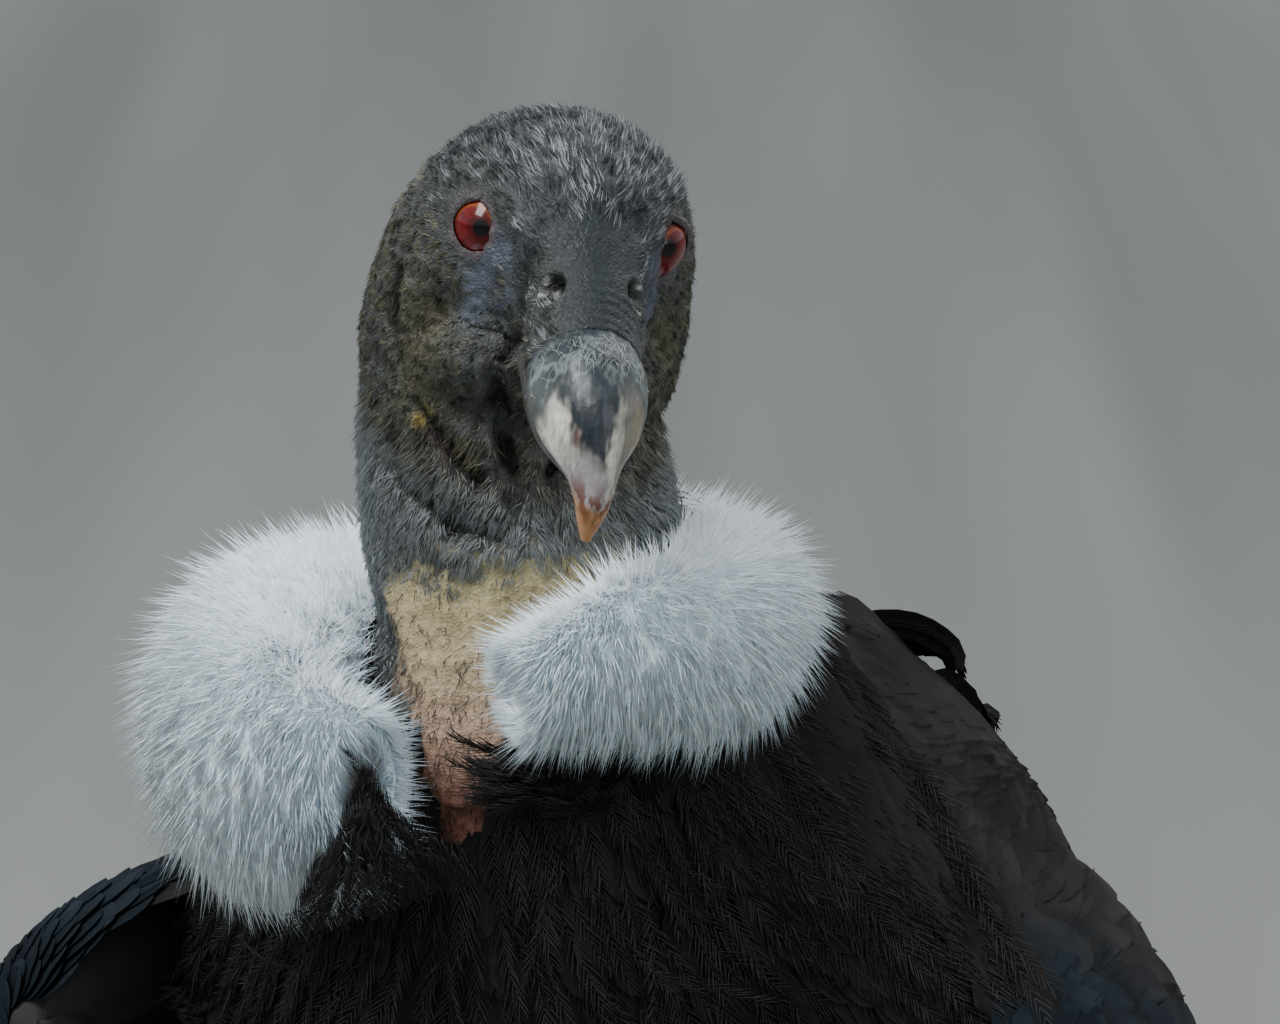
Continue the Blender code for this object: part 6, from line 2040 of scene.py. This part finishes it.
def make_leg_feathers(look):
    """The trousers of long, loose feathers down to the ankle."""
    for side in SIDES:
        random = np.random.default_rng(SEED)
        t, angle = jittered(random, 24, 20, 0.35)
        t, angle = t * 3.75 - 0.05, angle * TURN
        count = len(t)
        long = np.interp(t, [0, 2, 3, 4], [0.62, 0.62, 0.60, 0.55])
        end = np.minimum(t + long, random.uniform(3.9, 4.25, count))
        tip = columns(end, angle + random.normal(0, 0.06, count))
        half = np.interp(t, [0, 2, 4], [0.0115, 0.0085, 0.0050])
        lift = (-0.0050, random.uniform(-0.0022, 0.0002, count) - 0.0085 * smooth(3.5, 4.1, end))
        patch = columns(angle / TURN, t / 5)
        surface, root = thigh_surface(side), columns(t, angle)
        batch = feathers(surface, root, tip, half, lift, patch, POINTED, camber=0.25)
        base = BLACK * random.uniform(0.8, 1.6, count)[:, None]
        coat(f"leg_feathers_{side}", shaded(batch, base * 0.8, base * 1.3), look, "feathers")


def curl_surface(route):
    """A narrow strip along a curled middle line: t along it and x across."""
    line = np.array(route) / 1000
    last = len(line) - 1

    def surface(t, x, lift=0.0):
        t, x, lift = np.broadcast_arrays(t, x, lift)
        ahead = unit(spline(line, np.minimum(t + 0.05, last)) - spline(line, np.maximum(t - 0.05, 0)))
        side = np.array([0.05, 0.70, -0.70])
        side = unit(side - ahead * dot(ahead, side))
        return spline(line, t) + side * x[..., None] + np.cross(side, ahead) * lift[..., None]

    return surface


def make_loose_feathers(look, barb_look):
    """Two feathers that stand up off the left of the back, curled over and frayed."""
    random = np.random.default_rng(SEED)
    vanes, combs = [], []
    count = 9
    x = np.linspace(-0.002, 0.012, count)
    root = columns(np.zeros(count), x * 0.5)
    patch = columns(x + 0.3, np.full(count, 0.25))
    for route in LOOSE_FEATHERS:
        surface = curl_surface(route)
        tip = columns(random.uniform(3.3, 3.95, count), x * 0.6 + random.normal(0, 0.002, count))
        lift = (np.zeros(count), random.uniform(-0.003, 0.003, count))
        batch = feathers(surface, root, tip, 0.0062, lift, patch, FINE, SHAFT_ACROSS, 0.1)
        vanes.append(shaded(batch, BLACK * 0.8, BLACK * 1.2))
        barbs = plumes(surface, root, tip, lift, np.full(count, 0.0065), patch, random, 26, 0.45, 0.1)
        combs.append(toned(barbs, np.full(count, 0.9)))
    coat("loose_feathers", merged(vanes), look, "feathers")
    coat("loose_barbs", merged(combs), barb_look, "feathers")


def floor_material():
    """A plain floor with soft broad bands."""
    made, shader = material("floor", Roughness=0.9)
    turn = (0, 0, -math.radians(CAMERA_AZIMUTH))
    turned = node(made, "ShaderNodeMapping", {"Vector": object_place(made), "Rotation": turn})
    drawn = node(made, "ShaderNodeMapping", {"Vector": turned.outputs[0], "Scale": (1.0, 0.04, 1.0)})
    bands = node(made, "ShaderNodeTexNoise", {"Vector": drawn.outputs[0], "Scale": 5.0, "Detail": 2.0})
    wired(made, shader, "Base Color", ramp(made, bands.outputs[0], FLOOR_SHADES))
    return made


def make_stage():
    """A wide plain floor, soft lights and a weak even light from all round."""
    mesh = bpy.data.meshes.new("floor")
    corners = [(x * FLOOR_HALF, y * FLOOR_HALF, 0) for x, y in ((-1, -1), (1, -1), (1, 1), (-1, 1))]
    mesh.from_pydata(corners, [], [(0, 1, 2, 3)])
    mesh.materials.append(floor_material())
    floor = bpy.data.objects.new("floor", mesh)
    bpy.context.scene.collection.objects.link(floor)
    aim = Vector(EYE_MIDPOINT + SHIFT)
    for name, place, size, power in LIGHTS:
        data = bpy.data.lights.new(name, "AREA")
        data.size = size
        data.energy = power
        light = bpy.data.objects.new(name, data)
        light.location = aim + Vector(place)
        light.rotation_euler = (-Vector(place)).to_track_quat("-Z", "Y").to_euler()
        bpy.context.scene.collection.objects.link(light)
    world = bpy.data.worlds.new("studio")
    world.use_nodes = True
    background = world.node_tree.nodes["Background"]
    background.inputs[0].default_value = WORLD_COLOUR
    background.inputs[1].default_value = WORLD_LIGHT
    bpy.context.scene.world = world


def make_camera():
    """The photo's view: its scale is set at the depth of the eyes, and the eyes are put in their place."""
    azimuth, elevation = math.radians(CAMERA_AZIMUTH), math.radians(CAMERA_ELEVATION)
    right = np.array([math.cos(azimuth), math.sin(azimuth), 0.0])
    level = np.array([math.sin(azimuth), -math.cos(azimuth), 0.0])
    back = level * math.cos(elevation) + UPWARDS * math.sin(elevation)
    up = np.cross(back, right)
    between_eyes = sum(PACKED_EYES) / 2 + HEAD_FORWARD * IRIS_AHEAD
    x, y = EYES_IN_PHOTO
    aim = between_eyes + (right * (PHOTO[0] / 2 - x) - up * (PHOTO[1] / 2 - y)) * PIXEL
    data = bpy.data.cameras.new("camera")
    data.sensor_width = SENSOR_WIDTH
    data.lens = SENSOR_WIDTH / (PHOTO[0] * PIXEL / CAMERA_DISTANCE)
    data.clip_end = CLIP_END
    camera = bpy.data.objects.new("camera", data)
    camera.location = Vector(aim + back * CAMERA_DISTANCE)
    camera.rotation_euler = Vector(-back).to_track_quat("-Z", "Y").to_euler()
    bpy.context.scene.collection.objects.link(camera)
    bpy.context.scene.camera = camera


def main():
    """Dresses the frame and sets the stage."""
    make_camera()
    make_stage()
    skin = make_skin(skin_material())
    make_bristles(skin, hair_material("bristle", 0.55, 0.0, 0.14))
    make_eyes(eye_material())
    make_bill(horn_material())
    make_claws(claw_material())
    make_ruff(hair_material("down", 0.9, 0.45))
    vane = feather_material("feather", 0.80, 0.0009, 0.03)
    glossy = feather_material("wing_feather", 0.52, 0.0010, 0.10)
    under = feather_material("under_feather", 0.8)
    barb = hair_material("barb", 0.50, 0.0, 0.22)
    random = np.random.default_rng(SEED)
    coat("body_feathers", body_feathers(random), vane, "feathers")
    coat("chest_feathers", chest_plumes(random), barb, "feathers")
    coat("collar_tufts", collar_tufts(random), barb, "feathers")
    for side in SIDES:
        vanes, combs = apron(side, random)
        coat(f"apron_feathers_{side}", vanes, vane, "feathers")
        coat(f"apron_plumes_{side}", combs, barb, "feathers")
    make_wings(glossy, under, vane)
    make_tail(glossy, under)
    make_leg_feathers(vane)
    make_loose_feathers(vane, barb)


main()
